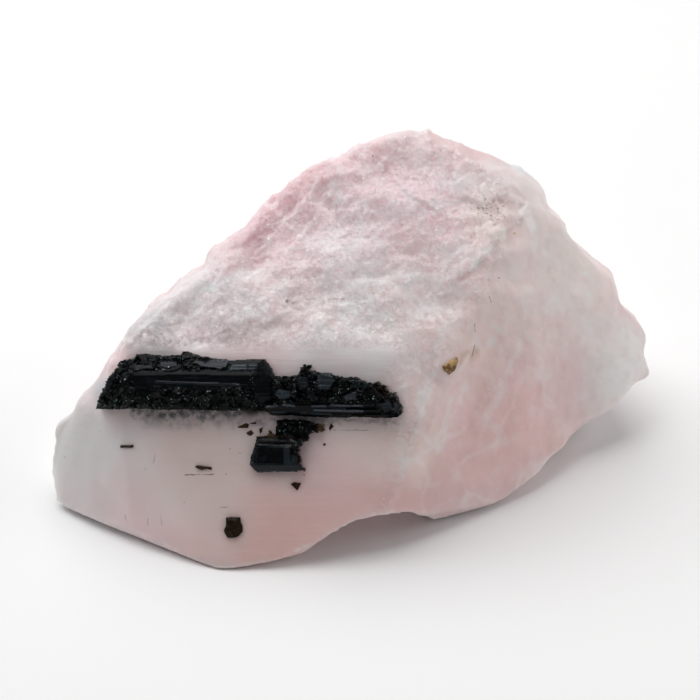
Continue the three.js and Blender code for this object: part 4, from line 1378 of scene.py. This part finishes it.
def tourmalineMaterial(name):
    look = tourmalineLook
    tints = look["tints"][name]
    material = bpy.data.materials.new(name + "Tourmaline")
    material.use_nodes = True
    tree = material.node_tree
    surface = tree.nodes["Principled BSDF"]
    paintedSheen, grit, brown = (attribute(tree, label) for label in ("paintedSheen", "grit", "brown"))
    tint = useGroup(tree, cloud, {"Size": 0.0016, "Detail": 3.0})["Value"]
    clouded = ranged(tree, tint, 0.02, 0.2, 0.0, 0.5)
    color = mixed(tree, clouded, linear(tints["color"]), linear(look["clouds"]))
    stained = maths(tree, "MULTIPLY", brown, ranged(tree, tint, -0.2, 0.1))
    color = mixed(tree, stained, color, linear(tints["brown"]))
    # painted sheen where the mesh says the facets reflect the light
    color = mixed(tree, paintedSheen, color, linear(tints["lit"]))
    cells = useGroup(tree, breakFacets, {"Size": 0.24 * mm, "Bend": 0.5})
    # painted glints: a few crumbly grains mixed towards a pale colour, as highlights
    rare = ranged(tree, cells["Shade"], 0.955, 1.0)
    paintedGlints = maths(tree, "MULTIPLY", maths(tree, "MULTIPLY", rare, grit), ranged(tree, tint, -0.1, 0.12))
    color = mixed(tree, paintedGlints, color, linear(tints["glint"]))
    tree.links.new(color, surface.inputs["Base Color"])
    tree.links.new(ranged(tree, tint, -0.15, 0.2, 0.16, 0.4), surface.inputs["Roughness"])
    coat = maths(tree, "ADD", maths(tree, "MULTIPLY", paintedGlints, 0.8), maths(tree, "MULTIPLY", paintedSheen, 0.35))
    tree.links.new(coat, surface.inputs["Coat Weight"])
    surface.inputs["Coat Roughness"].default_value = look["coatRoughness"]
    surface.inputs["IOR"].default_value = look["ior"]
    surface.inputs["Specular IOR Level"].default_value = look["specular"]
    lined = useGroup(tree, striae, {"Spacing": 0.2 * mm, "Length": 9 * mm})["Height"]
    crumbs = maths(tree, "MULTIPLY", maths(tree, "MULTIPLY", cells["Height"], grit), 0.3)
    total = maths(tree, "ADD", maths(tree, "MULTIPLY", lined, 0.05 * mm), crumbs)
    bump = add(tree, "Bump", {"Height": total, "Distance": 1.0, "Strength": 0.6})
    tree.links.new(bump.outputs[0], surface.inputs["Normal"])
    return material


print("tourmaline")
finishes = {name: tourmalineMaterial(name) for name in tourmalineLook["tints"]}
crystals = [
    (longCrystalMesh(), "long_tourmaline_crystal", "black"),
    (stubMesh(), "tourmaline_stub", "black"),
    *((smallPieceMesh(name), shape["node"], "brown") for name, shape in smallPieces.items()),
]
for mesh, node, finish in crystals:
    piece = makeObject(mesh.name, mesh)
    mesh.materials.append(finishes[finish])
    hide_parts(node)
    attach(piece, "root")

# Loose grains in the surface: each is a small faceted chip over its outline in the photograph.
# Outlines are in pixels, rise and depth in mm.

grainShapes = {
    "goldenGrain": {
        "outlines": [[(442, 366), (448, 362), (457, 357), (458, 361), (454, 371), (449, 375), (444, 371)]],
        "rise": 0.75, "depth": 2.2, "seed": 5, "finish": "golden",
    },
    "brownFlecks": {
        "outlines": [
            [(237, 427), (242, 425), (246, 423), (249, 424), (248, 428), (239, 428)],
            [(250, 423), (256, 422), (256, 424), (251, 424)],
            [(246, 433), (251, 430), (254, 433), (251, 436), (248, 435)],
            [(259, 429), (263, 427), (262, 432), (260, 434)],
            [(329, 428), (331, 423), (334, 427), (332, 428), (330, 431)],
            [(323, 444), (325, 443), (326, 445), (324, 446)],
        ],
        "rise": 0.16, "depth": 0.9, "seed": 5, "finish": "brown",
    },
}


def grainMesh(name):
    shape = grainShapes[name]
    bm = bmesh.new()
    layers = {label: bm.verts.layers.float.new(label) for label in ("paintedSheen", "grit", "brown")}
    shake = random.Random(shape["seed"])
    for outline in shape["outlines"]:
        spots = [onStone(*pixel) for pixel in outline]
        out = sum((normal for _, normal in spots), Vector()).normalized()
        ring = []
        for (here, _), (there, _) in zip(spots, spots[1:] + spots[:1]):
            ring += [here.lerp(there, step / 3) for step in range(3)]
        middle = sum(ring, Vector()) / len(ring)
        high = shape["rise"] * mm
        rows = []
        # each ring: how far in towards the middle, how high, how uneven
        levels = [(0, -shape["depth"] * mm, 0), (0, 0.05 * mm, 0.06)]
        levels += [(0.16, high * 0.7, 0.1), (0.5, high, 0.16)]
        for inward, lift, jitter in levels:
            row = []
            for point in ring:
                nudge = Vector([shake.uniform(-1, 1) for _ in range(3)]) * jitter * high
                row.append(bm.verts.new(point.lerp(middle, inward) + out * lift + nudge))
            rows.append(row)
        count = len(ring)
        for low, top in zip(rows, rows[1:]):
            for i in range(count):
                j = (i + 1) % count
                bm.faces.new([low[i], low[j], top[j], top[i]])
        peak = bm.verts.new(middle + out * high * 1.05)
        base = bm.verts.new(middle - out * shape["depth"] * mm)
        for i in range(count):
            j = (i + 1) % count
            bm.faces.new([rows[-1][i], rows[-1][j], peak])
            bm.faces.new([rows[0][j], rows[0][i], base])
    for vert in bm.verts:
        # painted sheen at random over the facets
        vert[layers["paintedSheen"]] = 0.35 * shake.random()
        vert[layers["grit"]] = 0.2
        vert[layers["brown"]] = 1.0
    bmesh.ops.recalc_face_normals(bm, faces=bm.faces)
    mesh = bpy.data.meshes.new(name)
    bm.to_mesh(mesh)
    bm.free()
    return mesh


goldenLook = {
    "dark": (112, 84, 44),
    "light": (196, 158, 98),
    "roughness": 0.32,
    "scatter": 0.25,
    "scatterDepth": 1.0 * mm,
}


def goldenMaterial():
    look = goldenLook
    material = bpy.data.materials.new("goldenGrain")
    material.use_nodes = True
    tree = material.node_tree
    surface = tree.nodes["Principled BSDF"]
    mottle = useGroup(tree, cloud, {"Size": 0.0011, "Detail": 3.0})["Value"]
    chips = useGroup(tree, breakFacets, {"Size": 0.5 * mm, "Bend": 0.5})
    color = mixed(tree, ranged(tree, mottle, -0.14, 0.14), linear(look["dark"]), linear(look["light"]))
    color = mixed(tree, maths(tree, "MULTIPLY", chips["Edge"], 0.35), color, linear(look["dark"]))
    tree.links.new(color, surface.inputs["Base Color"])
    roughness = ranged(tree, mottle, -0.2, 0.2, look["roughness"] - 0.08, look["roughness"] + 0.14)
    tree.links.new(roughness, surface.inputs["Roughness"])
    surface.inputs["Subsurface Weight"].default_value = look["scatter"]
    surface.inputs["Subsurface Scale"].default_value = look["scatterDepth"]
    relief = maths(tree, "MULTIPLY", chips["Height"], 0.5)
    bump = add(tree, "Bump", {"Height": relief, "Distance": 1.0, "Strength": 0.6})
    tree.links.new(bump.outputs[0], surface.inputs["Normal"])
    return material


print("grains")
finishes["golden"] = goldenMaterial()
for name, shape in grainShapes.items():
    piece = makeObject(name, grainMesh(name))
    piece.data.materials.append(finishes[shape["finish"]])
    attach(piece, "root")
    if name == "goldenGrain":
        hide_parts("stained_grain")
